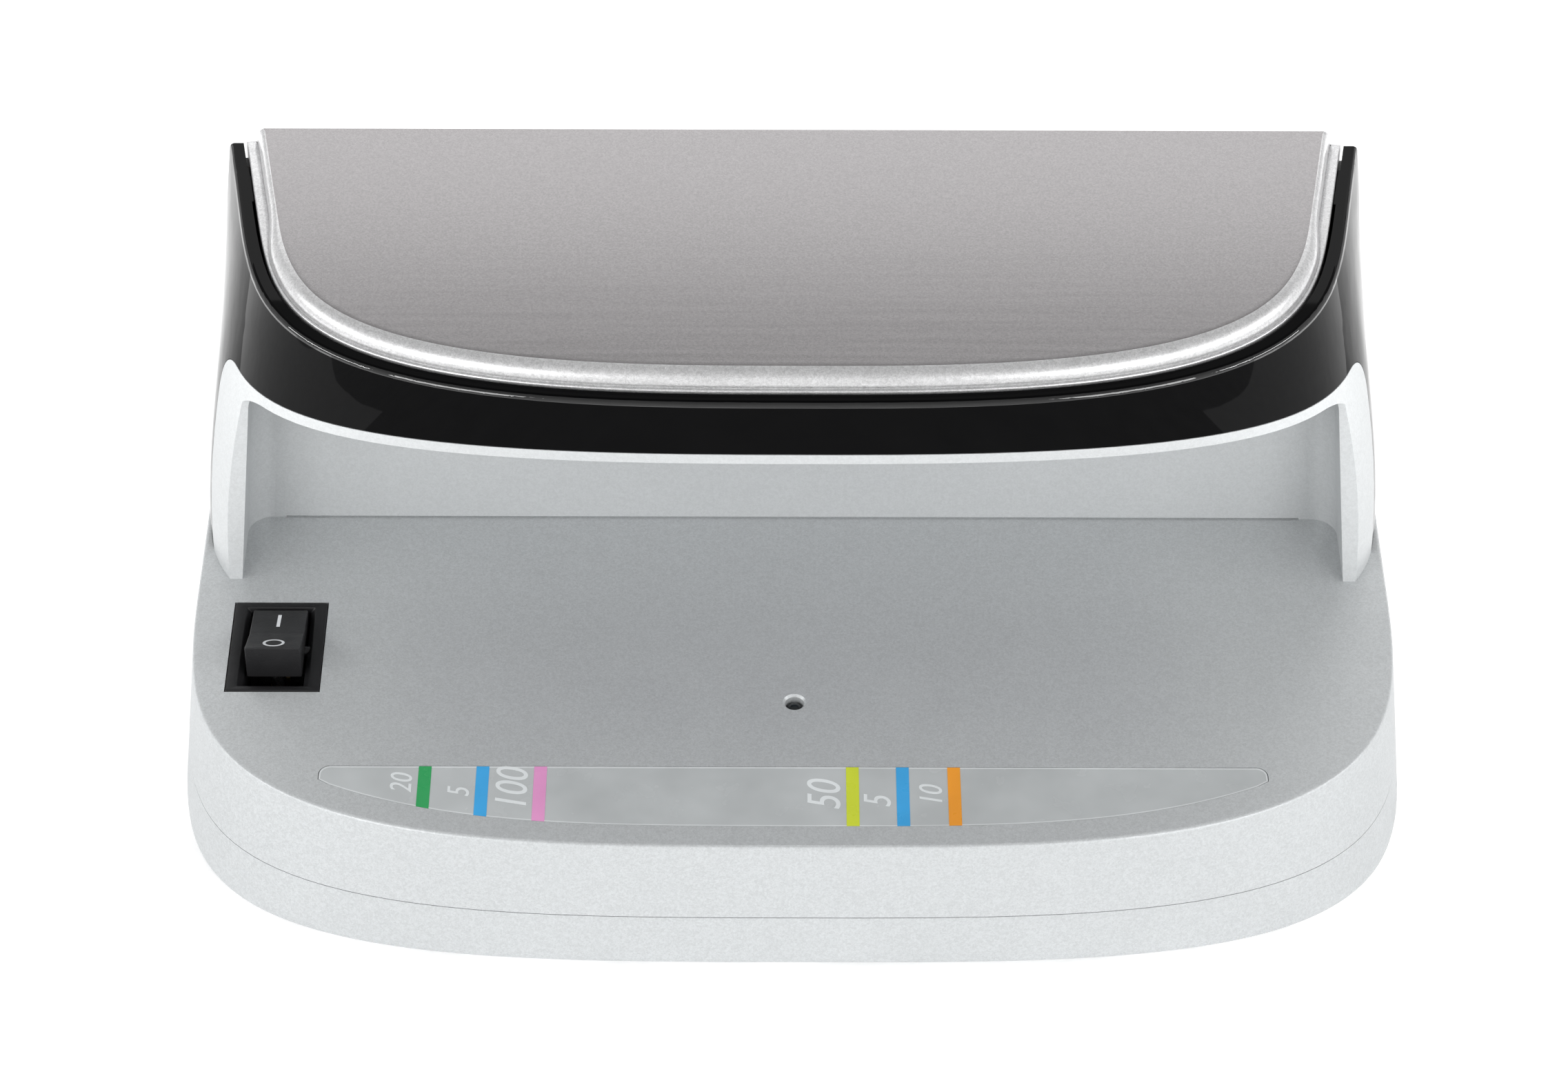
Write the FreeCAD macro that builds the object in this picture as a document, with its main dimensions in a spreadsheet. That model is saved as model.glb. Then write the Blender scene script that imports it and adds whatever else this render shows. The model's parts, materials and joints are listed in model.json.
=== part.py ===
"""Counterfeit bill detector: silver base with a deck, black hood with a silver lid, UV lamp inside.

Frame: millimetres, +X to the operator's right, +Y to the rear, +Z up.
The origin is on the table under the middle of the detector's bounding box.
"""
import FreeCAD, Part
import math
import os
import re

import Sketcher

Vector = FreeCAD.Vector

# ---------------------------------------------------------------- driving dimensions
# A D-shaped outline is a superellipse in front and nearly straight sides behind. It needs its
# half width at the rear, the taper of its sides, the Y of its front and of its shoulders (where
# the sides begin), and two exponents: the higher they are, the squarer the corners.
OUTLINES = {
    "foot": (99.0, 0.0, -57.1, 24.3, 3.4, 5.8),
    "deck": (96.5, 0.0, -55.5, 8.2, 3.2, 3.7),
    "hood_low": (96.2, 0.0, -15.0, 27.6, 2.9, 3.0),
    "hood_mid": (94.7, 0.05, -11.9, 34.6, 2.9, 3.4),
    "hood_top": (92.4, 0.169, -9.4, 43.4, 2.9, 4.0),
}
OUTLINE_FIELDS = ("width", "taper", "front", "shoulder", "side_power", "front_power")

DIMENSIONS = {
    # heights and walls
    "cover_bottom": 1.5, "parting": 11.6, "deck_top": 26.0, "hood_mid_height": 54.0,
    "hood_top_height": 76.0, "rear_face": 57.1, "wall": 2.2, "floor": 2.0, "joint_gap": 0.15,
    "deck_edge_radius": 0.6, "lip_height": 1.8, "lip_wall": 1.1,
    # viewing opening and bill chamber
    "arch_centre": 66.7, "arch_drop": 3.4, "arch_reach": 82.0, "arch_power": 3.5, "arch_strip": 1.75,
    "pillar_rear": 13.3, "pillar_lean": 0.33, "pillar_front": 5.9, "pillar_front_lean": 0.17,
    "shoulder_radius": 6.5, "opening_half": 88.9, "opening_corner": 6.0, "groove": 0.12, "roof_step": 0.3,
    "foot_groove": 0.3,
    "chamber_low": 89.6, "chamber_draft": 0.085, "chamber_corner": 4.0, "chamber_rear_corner": 4.0,
    "back_wall": 21.3, "back_wall_thickness": 2.0, "back_wall_top": 71.0, "liner": 1.8,
    "ledge_height": 45.0, "ledge_depth": 0.4,
    # lid
    "lid_bottom": 73.2, "lid_rim": 76.2, "lid_panel": 79.0, "lid_gap": 0.5, "lid_step": 0.5,
    "lid_edge_radius": 2.6, "lid_plate": 2.4, "hood_edge_radius": 0.9,
    # label
    "label_rear": -37.6, "label_front": -50.9, "label_reach": 74.0, "label_bow": 9.8,
    "label_power": 3.65, "label_corner": 1.9, "label_recess": 0.45, "label_thickness": 0.35,
    "film_gap": 0.1,
    # rocker switch
    "switch_x": -82.7, "switch_y": -10.4, "bezel_wide": 15.0, "bezel_long": 21.0,
    "bezel_height": 1.5, "bezel_proud": 0.1, "bezel_slope": 0.3, "bezel_recess": 1.45,
    "switch_wide": 13.0, "switch_long": 19.0, "switch_depth": 10.5, "switch_fit": 0.1,
    "well_wide": 9.6, "well_long": 18.0, "well_floor": 17.3, "well_bevel": 0.8, "well_end_bevel": 0.3,
    "rocker_wide": 8.8, "rocker_half": 7.7, "rocker_pivot": 25.0, "rocker_rise": 3.9,
    "rocker_dish": 0.8, "rocker_taper": 2.1, "rocker_below": 2.0, "rocker_belly": 3.1, "rocker_tilt": 19.0,
    "rocker_pin": 0.8, "pin_clearance": 0.06, "plunger_radius": 1.2, "plunger_length": 3.4,
    "blade_wide": 4.8, "blade_thick": 0.8, "blade_length": 8.5, "blade_pitch": 10.0,
    # status lamp hole
    "led_x": 0.2, "led_y": -23.0, "led_hole": 1.5, "led_countersink": 0.35, "led_body": 1.4,
    "led_board_top": 20.5, "led_board_thickness": 1.2,
    # ultraviolet tube
    "tube_y": 11.2, "tube_z": 62.0, "tube_radius": 8.0, "glass_wall": 0.8, "tube_length": 135.9,
    "cap_length": 6.0, "cap_radius": 7.9, "pin_radius": 1.15, "pin_spacing": 4.75, "pin_length": 7.0,
    "rotor_radius": 3.8, "pin_slot": 2.6, "holder_gap": 0.3, "holder_thick": 8.4,
    "holder_front": 6.6, "holder_low": 57.2, "holder_rebate": 1.6, "holder_high": 66.8, "holder_screw_z": 62.0,
    "reflector_radius": 9.6, "reflector_sheet": 0.5, "reflector_half": 66.0, "reflector_leg": 56.5,
    "reflector_screw_z": 58.8, "lamp_opening_half": 68.3, "lamp_opening_front": 1.0,
    "holder_opening_half": 77.2, "holder_opening_front": 6.2,
    "wire_radius": 0.9, "lamp_wire_z": 58.1,
    # rear compartment
    "board_left": -66.0, "board_right": 50.0, "board_front": 27.5, "board_rear": 51.5,
    "board_bottom": 31.0, "board_thickness": 1.6, "board_post": 3.0,
    "rear_cover_thickness": 2.6, "jack_x": -52.0, "jack_rise": 6.5, "jack_nose": 4.3,
    "jack_bore": 2.9, "jack_pin": 1.05, "jack_wide": 9.0, "jack_high": 11.4, "jack_deep": 12.0,
    "vent_wide": 2.0, "vent_high": 16.0, "vent_pitch": 5.0,
    # fasteners and feet
    "screw_radius": 1.45, "screw_hole": 1.5, "head_radius": 2.8, "head_height": 1.6,
    "screw_length": 12.0, "short_screw_length": 7.0, "boss_radius": 3.6,
    "foot_radius": 6.0, "foot_height": 2.3, "foot_recess": 0.8,
}
for outline_name, outline_numbers in OUTLINES.items():
    for field_name, number in zip(OUTLINE_FIELDS, outline_numbers):
        DIMENSIONS[f"{outline_name}_{field_name}"] = number

# ---------------------------------------------------------------- where repeated things sit
COVER_SCREWS = [(-84, -28), (84, -28), (-64, 46), (64, 46)]
FRONT_SCREW = (-0.5, -43.9)
FEET = [(-70, -40), (70, -40), (-84, 46), (84, 46)]
HOOD_SCREWS = [(-86.5, 49), (86.5, 49), (-72, 26.6), (72, 26.6)]
LID_SCREWS = [(-81, 49), (81, 49)]
REAR_COVER_SCREWS = [(-89, 38), (89, 38), (-86, 69.6), (86, 69.6)]      # X and Z
BOARD_SCREWS = [(-62, 31), (46, 31), (-62, 48), (46, 48)]
REFLECTOR_SCREWS = [-40, 40]                                         # X
HOLDER_SCREW_X = 72.5
CAPACITORS = [(-34, 36, 5, 16), (-22, 44, 4, 12), (-20, 33, 3.2, 11)]     # X, Y, radius, height

# Construction solids reach past the housing on every side.
PAST_SIDE, PAST_FRONT, PAST_TOP, UNDER_DECK = 102.0, -40.0, 80.0, 6.0
TINY = 1e-6

doc = FreeCAD.newDocument("BillDetector")
sheet = doc.addObject("Spreadsheet::Sheet", "Sizes")
for row, (alias, number) in enumerate(DIMENSIONS.items(), start=1):
    sheet.set(f"A{row}", alias)
    sheet.set(f"B{row}", str(number))
    sheet.setAlias(f"B{row}", alias)
doc.recompute()

SUBPARTS = []


# ---------------------------------------------------------------- helpers
def value(alias):
    return float(sheet.get(alias))


def on_sheet(formula):
    """A formula in plain aliases, with each alias pointed at the sheet."""
    return re.sub(r"[a-z][a-z_]*", lambda m: f"Sizes.{m.group()}" if m.group() in DIMENSIONS else m.group(),
                  str(formula))


def bind(thing, **formulas):
    for prop, formula in formulas.items():
        thing.setExpression(prop, on_sheet(formula))


def place(thing, x, y, z, axis="Z"):
    """Move a primitive to x, y, z, with its own Z along the named axis."""
    turns = {"Z": FreeCAD.Rotation(), "X": FreeCAD.Rotation(Vector(0, 1, 0), 90),
             "Y": FreeCAD.Rotation(Vector(1, 0, 0), -90)}
    thing.Placement = FreeCAD.Placement(Vector(), turns[axis])
    for letter, formula in zip("xyz", (x, y, z)):
        thing.setExpression(f"Placement.Base.{letter}", on_sheet(formula))
    return thing


def box(name, size, corner):
    thing = doc.addObject("Part::Box", name)
    bind(thing, Length=size[0], Width=size[1], Height=size[2])
    return place(thing, *corner)


def cylinder(name, radius, height, base, axis="Z"):
    thing = doc.addObject("Part::Cylinder", name)
    bind(thing, Radius=radius, Height=height)
    return place(thing, *base, axis)


def cone(name, low_radius, high_radius, height, base, axis="Z"):
    thing = doc.addObject("Part::Cone", name)
    bind(thing, Radius1=low_radius, Radius2=high_radius, Height=height)
    return place(thing, *base, axis)


def plate(name, low_size, high_size, thick, centre):
    """A flat plate whose top and bottom differ in size. Its centre is given at its underside."""
    thing = doc.addObject("Part::Wedge", name)
    bind(thing, Xmin=f"-({low_size[0]}) / 2", Xmax=f"({low_size[0]}) / 2", Zmin=f"-({low_size[1]}) / 2",
         Zmax=f"({low_size[1]}) / 2", Ymin=0, Ymax=thick, X2min=f"-({high_size[0]}) / 2",
         X2max=f"({high_size[0]}) / 2", Z2min=f"-({high_size[1]}) / 2", Z2max=f"({high_size[1]}) / 2")
    thing.Placement = FreeCAD.Placement(Vector(), FreeCAD.Rotation(Vector(1, 0, 0), 90))
    for letter, formula in zip("xyz", centre):
        thing.setExpression(f"Placement.Base.{letter}", on_sheet(formula))
    return thing


def fuse(name, *things):
    thing = doc.addObject("Part::MultiFuse", name)
    thing.Shapes = list(things)
    return thing


def common(name, *things):
    thing = doc.addObject("Part::MultiCommon", name)
    thing.Shapes = list(things)
    return thing


def cut(name, base, *tools):
    thing = doc.addObject("Part::Cut", name)
    thing.Base = base
    thing.Tool = tools[0] if len(tools) == 1 else fuse(f"{name}_tools", *tools)
    return thing


def group(name, *things):
    thing = doc.addObject("Part::Compound", name)
    thing.Links = list(things)
    return thing


def feature(name, shape):
    thing = doc.addObject("Part::Feature", name)
    thing.Shape = shape
    thing.Placement = FreeCAD.Placement()
    return thing


def subpart(thing, label):
    thing.Label = label
    SUBPARTS.append(thing)
    return thing


def body_sketch(name, plane):
    """A body of its own and an empty sketch on one of its origin planes."""
    body = doc.addObject("PartDesign::Body", name)
    sketch = body.newObject("Sketcher::SketchObject", f"{name}_sketch")
    sketch.AttachmentSupport = [(next(o for o in body.Origin.OriginFeatures if o.Role == plane), "")]
    sketch.MapMode = "FlatFace"
    return body, sketch


def draw_loop(sketch, corners):
    """A closed polygon in the sketch, each corner held by two bound distances from the origin."""
    first = sketch.GeometryCount
    points = [Vector(rough(u), rough(v), 0) for u, v in corners]
    for start, end in zip(points, points[1:] + points[:1]):
        sketch.addGeometry(Part.LineSegment(start, end), False)
    for index, (u, v) in enumerate(corners):
        line = first + index
        following = first + (index + 1) % len(corners)
        sketch.addConstraint(Sketcher.Constraint("Coincident", line, 2, following, 1))
        for kind, formula, axis in (("DistanceX", u, -2), ("DistanceY", v, -1)):
            if abs(rough(formula)) < 1e-9:
                sketch.addConstraint(Sketcher.Constraint("PointOnObject", line, 1, axis))
                continue
            number = sketch.addConstraint(Sketcher.Constraint(kind, -1, 1, line, 1, rough(formula)))
            sketch.setExpression(f"Constraints[{number}]", on_sheet(formula))


def draw_circle(sketch, u, v, radius):
    circle = sketch.addGeometry(Part.Circle(Vector(rough(u), rough(v), 0), Vector(0, 0, 1), rough(radius)),
                                False)
    number = sketch.addConstraint(Sketcher.Constraint("Radius", circle, rough(radius)))
    sketch.setExpression(f"Constraints[{number}]", on_sheet(radius))
    for kind, formula, axis in (("DistanceX", u, -2), ("DistanceY", v, -1)):
        if abs(rough(formula)) < 1e-9:
            sketch.addConstraint(Sketcher.Constraint("PointOnObject", circle, 3, axis))
            continue
        number = sketch.addConstraint(Sketcher.Constraint(kind, -1, 1, circle, 3, rough(formula)))
        sketch.setExpression(f"Constraints[{number}]", on_sheet(formula))


def rough(formula):
    """The present number of a formula made of aliases and + - * /."""
    names = {alias: number for alias, number in DIMENSIONS.items()}
    total = 0.0
    for sign, term in re.findall(r"([+-]?)\s*([^+-]+)", str(formula)):
        product = 1.0
        for operator, factor in re.findall(r"([*/]?)\s*([a-z_0-9.]+)", term):
            number = names[factor] if factor in names else float(factor)
            product = product / number if operator == "/" else product * number
        total += -product if sign == "-" else product
    return total


def pad(body, sketch, length, midplane=False):
    thing = body.newObject("PartDesign::Pad", f"{body.Name}_pad")
    thing.Profile = sketch
    thing.Midplane = midplane
    bind(thing, Length=length)
    body.Tip = thing
    return thing


def revolve(body, sketch):
    thing = body.newObject("PartDesign::Revolution", f"{body.Name}_turn")
    thing.Profile = sketch
    thing.ReferenceAxis = (sketch, ["V_Axis"])
    thing.Angle = 360
    body.Tip = thing
    return thing


# ---------------------------------------------------------------- D-shaped outlines
def outline(name):
    return {field: value(f"{name}_{field}") for field in OUTLINE_FIELDS}


def mixed(low, high, share):
    return {field: low[field] * (1 - share) + high[field] * share for field in OUTLINE_FIELDS}


def hood_outline(height):
    """The hood's outline at a height, from a parabola through its low, middle and top outlines."""
    heights = (value("deck_top"), value("hood_mid_height"), value("hood_top_height"))
    rows = [outline(name) for name in ("hood_low", "hood_mid", "hood_top")]
    weights = []
    for i in range(3):
        others = [heights[j] for j in range(3) if j != i]
        weights.append(math.prod((height - o) / (heights[i] - o) for o in others))
    return {field: sum(w * row[field] for w, row in zip(weights, rows)) for field in OUTLINE_FIELDS}


def outline_point(shape, step, rear):
    """A point of the right half: step runs 0 to 1 round the front and 1 to 2 along the side."""
    if step <= 1:
        angle = step * math.pi / 2
        deep = shape["shoulder"] - shape["front"]
        y = shape["shoulder"] - deep * math.cos(angle) ** (2 / shape["front_power"])
        bulge = math.sin(angle) ** (2 / shape["side_power"])
    else:
        y = shape["shoulder"] + (rear - shape["shoulder"]) * (step - 1)
        bulge = 1.0
    return Vector((shape["width"] - shape["taper"] * (value("rear_face") - y)) * bulge, y, 0)


def outline_wire(shape, z, inset=0.0, past_rear=0.0):
    """The closed outline at height z, moved inward by inset and ending past_rear behind the rear face."""
    rear = value("rear_face") + past_rear
    nudge = 1e-3
    half = []
    for step in [i / 14 for i in range(14)] + [1.0, 1.35, 1.7, 2.0]:
        ahead, behind = min(step + nudge, 2), max(step - nudge, 0)
        along = outline_point(shape, ahead, rear) - outline_point(shape, behind, rear)
        if step == 0:
            along = Vector(1, 0, 0)
        along.normalize()
        moved = outline_point(shape, step, rear) + Vector(-along.y, along.x, 0) * inset
        half.append(Vector(moved.x, moved.y, z))
    half[-1].y = rear
    points = [Vector(-p.x, p.y, p.z) for p in reversed(half[1:])] + half
    curve = Part.BSplineCurve()
    curve.interpolate(points)
    return Part.Wire([curve.toShape(), Part.LineSegment(points[-1], points[0]).toShape()])


def outline_loft(levels, inset=0.0, past_rear=0.0):
    """A solid through the outlines of levels, a list of (outline, z)."""
    wires = [outline_wire(shape, z, inset, past_rear) for shape, z in levels]
    return Part.makeLoft(wires, True, len(levels) == 2)


FOOT, DECK = outline("foot"), outline("deck")
PARTING_SHARE = ((value("parting") - value("cover_bottom")) / (value("deck_top") - value("cover_bottom")))
PARTING = mixed(FOOT, DECK, PARTING_SHARE)


def hood_loft(inset=0.0, past_rear=0.0, top=None):
    low = value("deck_top")
    high = value("hood_top_height") if top is None else top
    heights = [low + (high - low) * i / 3 for i in range(4)]
    return outline_loft([(hood_outline(z), z) for z in heights], inset, past_rear)


# ---------------------------------------------------------------- base
def make_cover():
    """Bottom tray: floor, wall up to the parting line, inner lip, screw posts and foot recesses."""
    bottom, parting, wall = value("cover_bottom"), value("parting"), value("wall")
    gap = value("joint_gap")
    outer = outline_loft([(FOOT, bottom), (PARTING, parting - gap)])
    rim = [edge for edge in outer.Edges if abs(edge.BoundBox.ZMax - bottom) < 1e-6]
    outer = feature("CoverOuter", outer.makeFillet(1.2, rim))
    inner = feature("CoverInner",
                    outline_loft([(FOOT, bottom + value("floor")), (PARTING, parting)], wall, -wall))
    tray = cut("CoverTray", outer, inner)
    lip_top = parting + value("lip_height")
    lip_inset = wall + 0.9
    lip_inner = lip_inset + value("lip_wall")
    lip_out = feature("LipOuter",
                      outline_loft([(PARTING, parting - 4), (PARTING, lip_top)], lip_inset, -lip_inset))
    lip_in = feature("LipInner",
                     outline_loft([(PARTING, bottom), (PARTING, lip_top + 1)], lip_inner, -lip_inner))
    lip_web = feature("LipWeb", outline_loft([(PARTING, parting - 4), (PARTING, parting - gap)], 1.2, -1.2))
    lip = cut("CoverLip", fuse("CoverLipBand", lip_out, lip_web), lip_in)
    posts = [cylinder(f"CoverPost{i}", "boss_radius", "parting - cover_bottom - 1.6", (x, y, "cover_bottom"))
             for i, (x, y) in enumerate(COVER_SCREWS)]
    front = cylinder("CoverFrontPost", "boss_radius", "parting - cover_bottom - 1.6",
                     (*FRONT_SCREW, "cover_bottom"))
    solid = fuse("CoverSolid", tray, lip, *posts, front)
    tools = [cylinder(f"CoverFootRecess{i}", "foot_radius + film_gap", "foot_recess", (x, y, "cover_bottom"))
             for i, (x, y) in enumerate(FEET)]
    for i, (x, y) in enumerate(COVER_SCREWS):
        tools.append(cylinder(f"CoverHead{i}", "head_radius + film_gap", "head_height + 1.2",
                              (x, y, "cover_bottom")))
        tools.append(cylinder(f"CoverHole{i}", "screw_hole", 12, (x, y, "cover_bottom")))
    tools.append(cylinder("CoverFrontHole", "screw_hole", 12, (*FRONT_SCREW, "cover_bottom + 2")))
    tools += [box(f"CoverVent{i}", (30, 2, 6), (-15, f"{20 + 5 * i}", "cover_bottom - 2")) for i in range(4)]
    subpart(cut("Cover", solid, *tools), "base_bottom_cover")


def make_top_shell():
    """Deck and skirt, with the label recess, the switch opening, the lamp hole and screw bosses."""
    top, parting, wall = value("deck_top"), value("parting"), value("wall")
    outer = outline_loft([(PARTING, parting), (DECK, top)])
    rim = [edge for edge in outer.Edges if abs(edge.BoundBox.ZMin - top) < 1e-6]
    outer = feature("ShellOuter", outer.makeFillet(value("deck_edge_radius"), rim))
    inner = feature("ShellInner", outline_loft([(PARTING, parting), (DECK, top - wall)], wall, -wall))
    hollow = cut("ShellHollow", outer, inner)
    height = "deck_top - wall - parting + 2.1"
    bosses = [cylinder(f"ShellBoss{i}", "boss_radius", height, (x, y, "parting - 1.6"))
              for i, (x, y) in enumerate(COVER_SCREWS)]
    bosses.append(cylinder("ShellFrontBoss", "boss_radius", height, (*FRONT_SCREW, "parting - 1.6")))
    posts = [cylinder(f"ShellLedPost{i}", 1.8, "deck_top - led_board_top", (f"led_x + {side * 7.5}", "led_y",
                                                                             "led_board_top"))
              for i, side in enumerate((-1, 1))]
    solid = fuse("ShellSolid", hollow, *bosses, *posts)
    tools = [box("SwitchOpening", ("switch_wide + 2 * switch_fit", "switch_long + 2 * switch_fit", 10),
                 ("switch_x - switch_wide / 2 - switch_fit", "switch_y - switch_long / 2 - switch_fit",
                  "deck_top - 5")),
             box("SwitchRecess", ("bezel_wide + 2 * switch_fit", "bezel_long + 2 * switch_fit", 5),
                 ("switch_x - bezel_wide / 2 - switch_fit", "switch_y - bezel_long / 2 - switch_fit",
                  "deck_top - bezel_recess")),
             cylinder("LedHole", "led_hole", 10, ("led_x", "led_y", "deck_top - 5")),
             cone("LedSink", "led_hole", "led_hole + led_countersink", "led_countersink",
                  ("led_x", "led_y", "deck_top - led_countersink")),
             feature("LabelRecess", label_solid(value("deck_top") - value("label_recess"), 1.0, 0.0)),
             box("CableSlot", (8, 8, 8), (-79, 36, "deck_top - 5"))]
    tools += [cylinder(f"ShellHole{i}", "screw_hole", "screw_length", (x, y, "parting - 1.7"))
              for i, (x, y) in enumerate(COVER_SCREWS)]
    tools.append(cylinder("ShellFrontHole", "screw_hole", 20, (*FRONT_SCREW, "deck_top - 19")))
    tools.append(cylinder("ShellFrontHead", "head_radius + film_gap", 4,
                          (*FRONT_SCREW, "deck_top - label_recess - head_height - 0.2")))
    tools += [cylinder(f"ShellHoodHole{i}", "screw_hole", 10, (x, y, "deck_top - 5"))
              for i, (x, y) in enumerate(HOOD_SCREWS)]
    tools += [cylinder(f"ShellBoardHole{i}", "screw_hole", 3, (x, y, "deck_top - 1.9"))
              for i, (x, y) in enumerate(BOARD_SCREWS)]
    subpart(cut("TopShell", solid, *tools), "base_top_shell")


def label_solid(z, height, inset):
    """A slim plate with a straight rear edge and a bowed front edge."""
    reach, bow, power = value("label_reach"), value("label_bow"), value("label_power")
    front, rear = value("label_front") + inset, value("label_rear") - inset
    points = [Vector(reach * share * 0.975, front + bow * abs(share * 0.975) ** power, z)
              for share in (-1, -0.85, -0.65, -0.4, 0, 0.4, 0.65, 0.85, 1)]
    curve = Part.BSplineCurve()
    curve.interpolate(points)
    left, right = points[0], points[-1]
    corners = [right, Vector(reach - inset, right.y + 1.2, z), Vector(reach - inset, rear, z),
               Vector(inset - reach, rear, z), Vector(inset - reach, left.y + 1.2, z), left]
    sides = [Part.LineSegment(a, b).toShape() for a, b in zip(corners, corners[1:])]
    plate = Part.Face(Part.Wire([curve.toShape()] + sides)).extrude(Vector(0, 0, height))
    upright = [edge for edge in plate.Edges
               if edge.BoundBox.ZLength > height / 2 and abs(edge.BoundBox.YMax - rear) < 1e-6]
    return plate.makeFillet(value("label_corner") - inset, upright)


def make_label():
    z = value("deck_top") - value("label_recess")
    subpart(feature("Label", label_solid(z, value("label_thickness"), value("film_gap"))), "label_film")


def make_feet():
    """Four rubber buttons, each turned, with a slightly domed edge."""
    rings = []
    for i, (x, y) in enumerate(FEET):
        body, sketch = body_sketch(f"Foot{i}", "XZ_Plane")
        draw_loop(sketch,
                  [(0, 0), ("foot_radius - 0.5", 0), ("foot_radius", 0.5), ("foot_radius", "foot_height"),
                           (0, "foot_height")])
        revolve(body, sketch)
        body.Placement = FreeCAD.Placement(Vector(x, y, 0), FreeCAD.Rotation())
        rings.append(body)
    subpart(group("Feet", *rings), "rubber_feet")


# ---------------------------------------------------------------- fasteners
def screw(name, length, place_at, up=True, axis="Z"):
    """Pan head screw with a cross recess. Its head's outer face is at place_at; its tip is ahead or behind."""
    sign = 1 if up else -1
    x, y, z = place_at
    ahead = {"Z": (x, y, f"{z} - ({length})"), "Y": (x, f"{y} - ({length})", z)}[axis]
    behind = {"Z": (x, y, f"{z} - head_height"), "Y": (x, f"{y} - head_height", z)}[axis]
    head = cylinder(f"{name}_head", "head_radius", "head_height", (x, y, z) if sign > 0 else behind, axis)
    shank = cylinder(f"{name}_shank", "screw_radius", length, (x, y, z) if sign > 0 else ahead, axis)
    slots = []
    long, narrow, cross_deep, over = 3.2, 0.7, 0.9, 0.1
    for k, (wide, deep) in enumerate(((long, narrow), (narrow, long))):
        start = -over if sign > 0 else -cross_deep
        if axis == "Z":
            slots.append(box(f"{name}_slot{k}", (wide, deep, cross_deep + over),
                             (f"{x} - {wide / 2}", f"{y} - {deep / 2}",
                                                                  f"{z} + {start}")))
        else:
            slots.append(box(f"{name}_slot{k}", (wide, cross_deep + over, deep),
                             (f"{x} - {wide / 2}", f"{y} + {start}",
                                                                  f"{z} - {deep / 2}")))
    return cut(name, fuse(f"{name}_blank", head, shank), *slots)


def make_screws():
    groups = {
        "base_screws": [screw(f"BaseScrew{i}", "screw_length", (x, y, "cover_bottom + 1.2"))
                        for i, (x, y) in enumerate(COVER_SCREWS)],
        "hood_screws": [screw(f"HoodScrew{i}", "screw_length - 1", (x, y, "deck_top - wall - head_height"))
                        for i, (x, y) in enumerate(HOOD_SCREWS)],
        "front_screw": [screw("FrontScrew", 17, (*FRONT_SCREW, "deck_top - label_recess - 0.2"), up=False)],
        "lid_screws": [screw(f"LidScrew{i}", "screw_length", (x, y, "lid_bottom - 9.2"))
                       for i, (x, y) in enumerate(LID_SCREWS)],
        "rear_cover_screws": [screw(f"RearScrew{i}", "screw_length - 2", (x, "rear_face - 0.2", z), up=False,
                                    axis="Y")
                              for i, (x, z) in enumerate(REAR_COVER_SCREWS)],
        "board_screws": [screw(f"BoardScrew{i}", "screw_length - 2",
                               (x, y, "board_bottom + board_thickness + head_height"), up=False)
                         for i, (x, y) in enumerate(BOARD_SCREWS)],
        "reflector_screws": [screw(f"ReflectorScrew{i}", "short_screw_length - 2",
                                   (x, "back_wall + back_wall_thickness + head_height", "reflector_screw_z"),
                                   up=False, axis="Y") for i, x in enumerate(REFLECTOR_SCREWS)],
        "lamp_holder_screws": [screw(f"HolderScrew{i}", "short_screw_length + 1",
                                     (x, "back_wall + back_wall_thickness + head_height", "holder_screw_z"),
                                     up=False, axis="Y")
                                     for i, x in enumerate((-HOLDER_SCREW_X, HOLDER_SCREW_X))],
    }
    for label, screws in groups.items():
        whole = screws[0] if len(screws) == 1 else group(f"{label}_group", *screws)
        subpart(whole, label)


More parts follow.
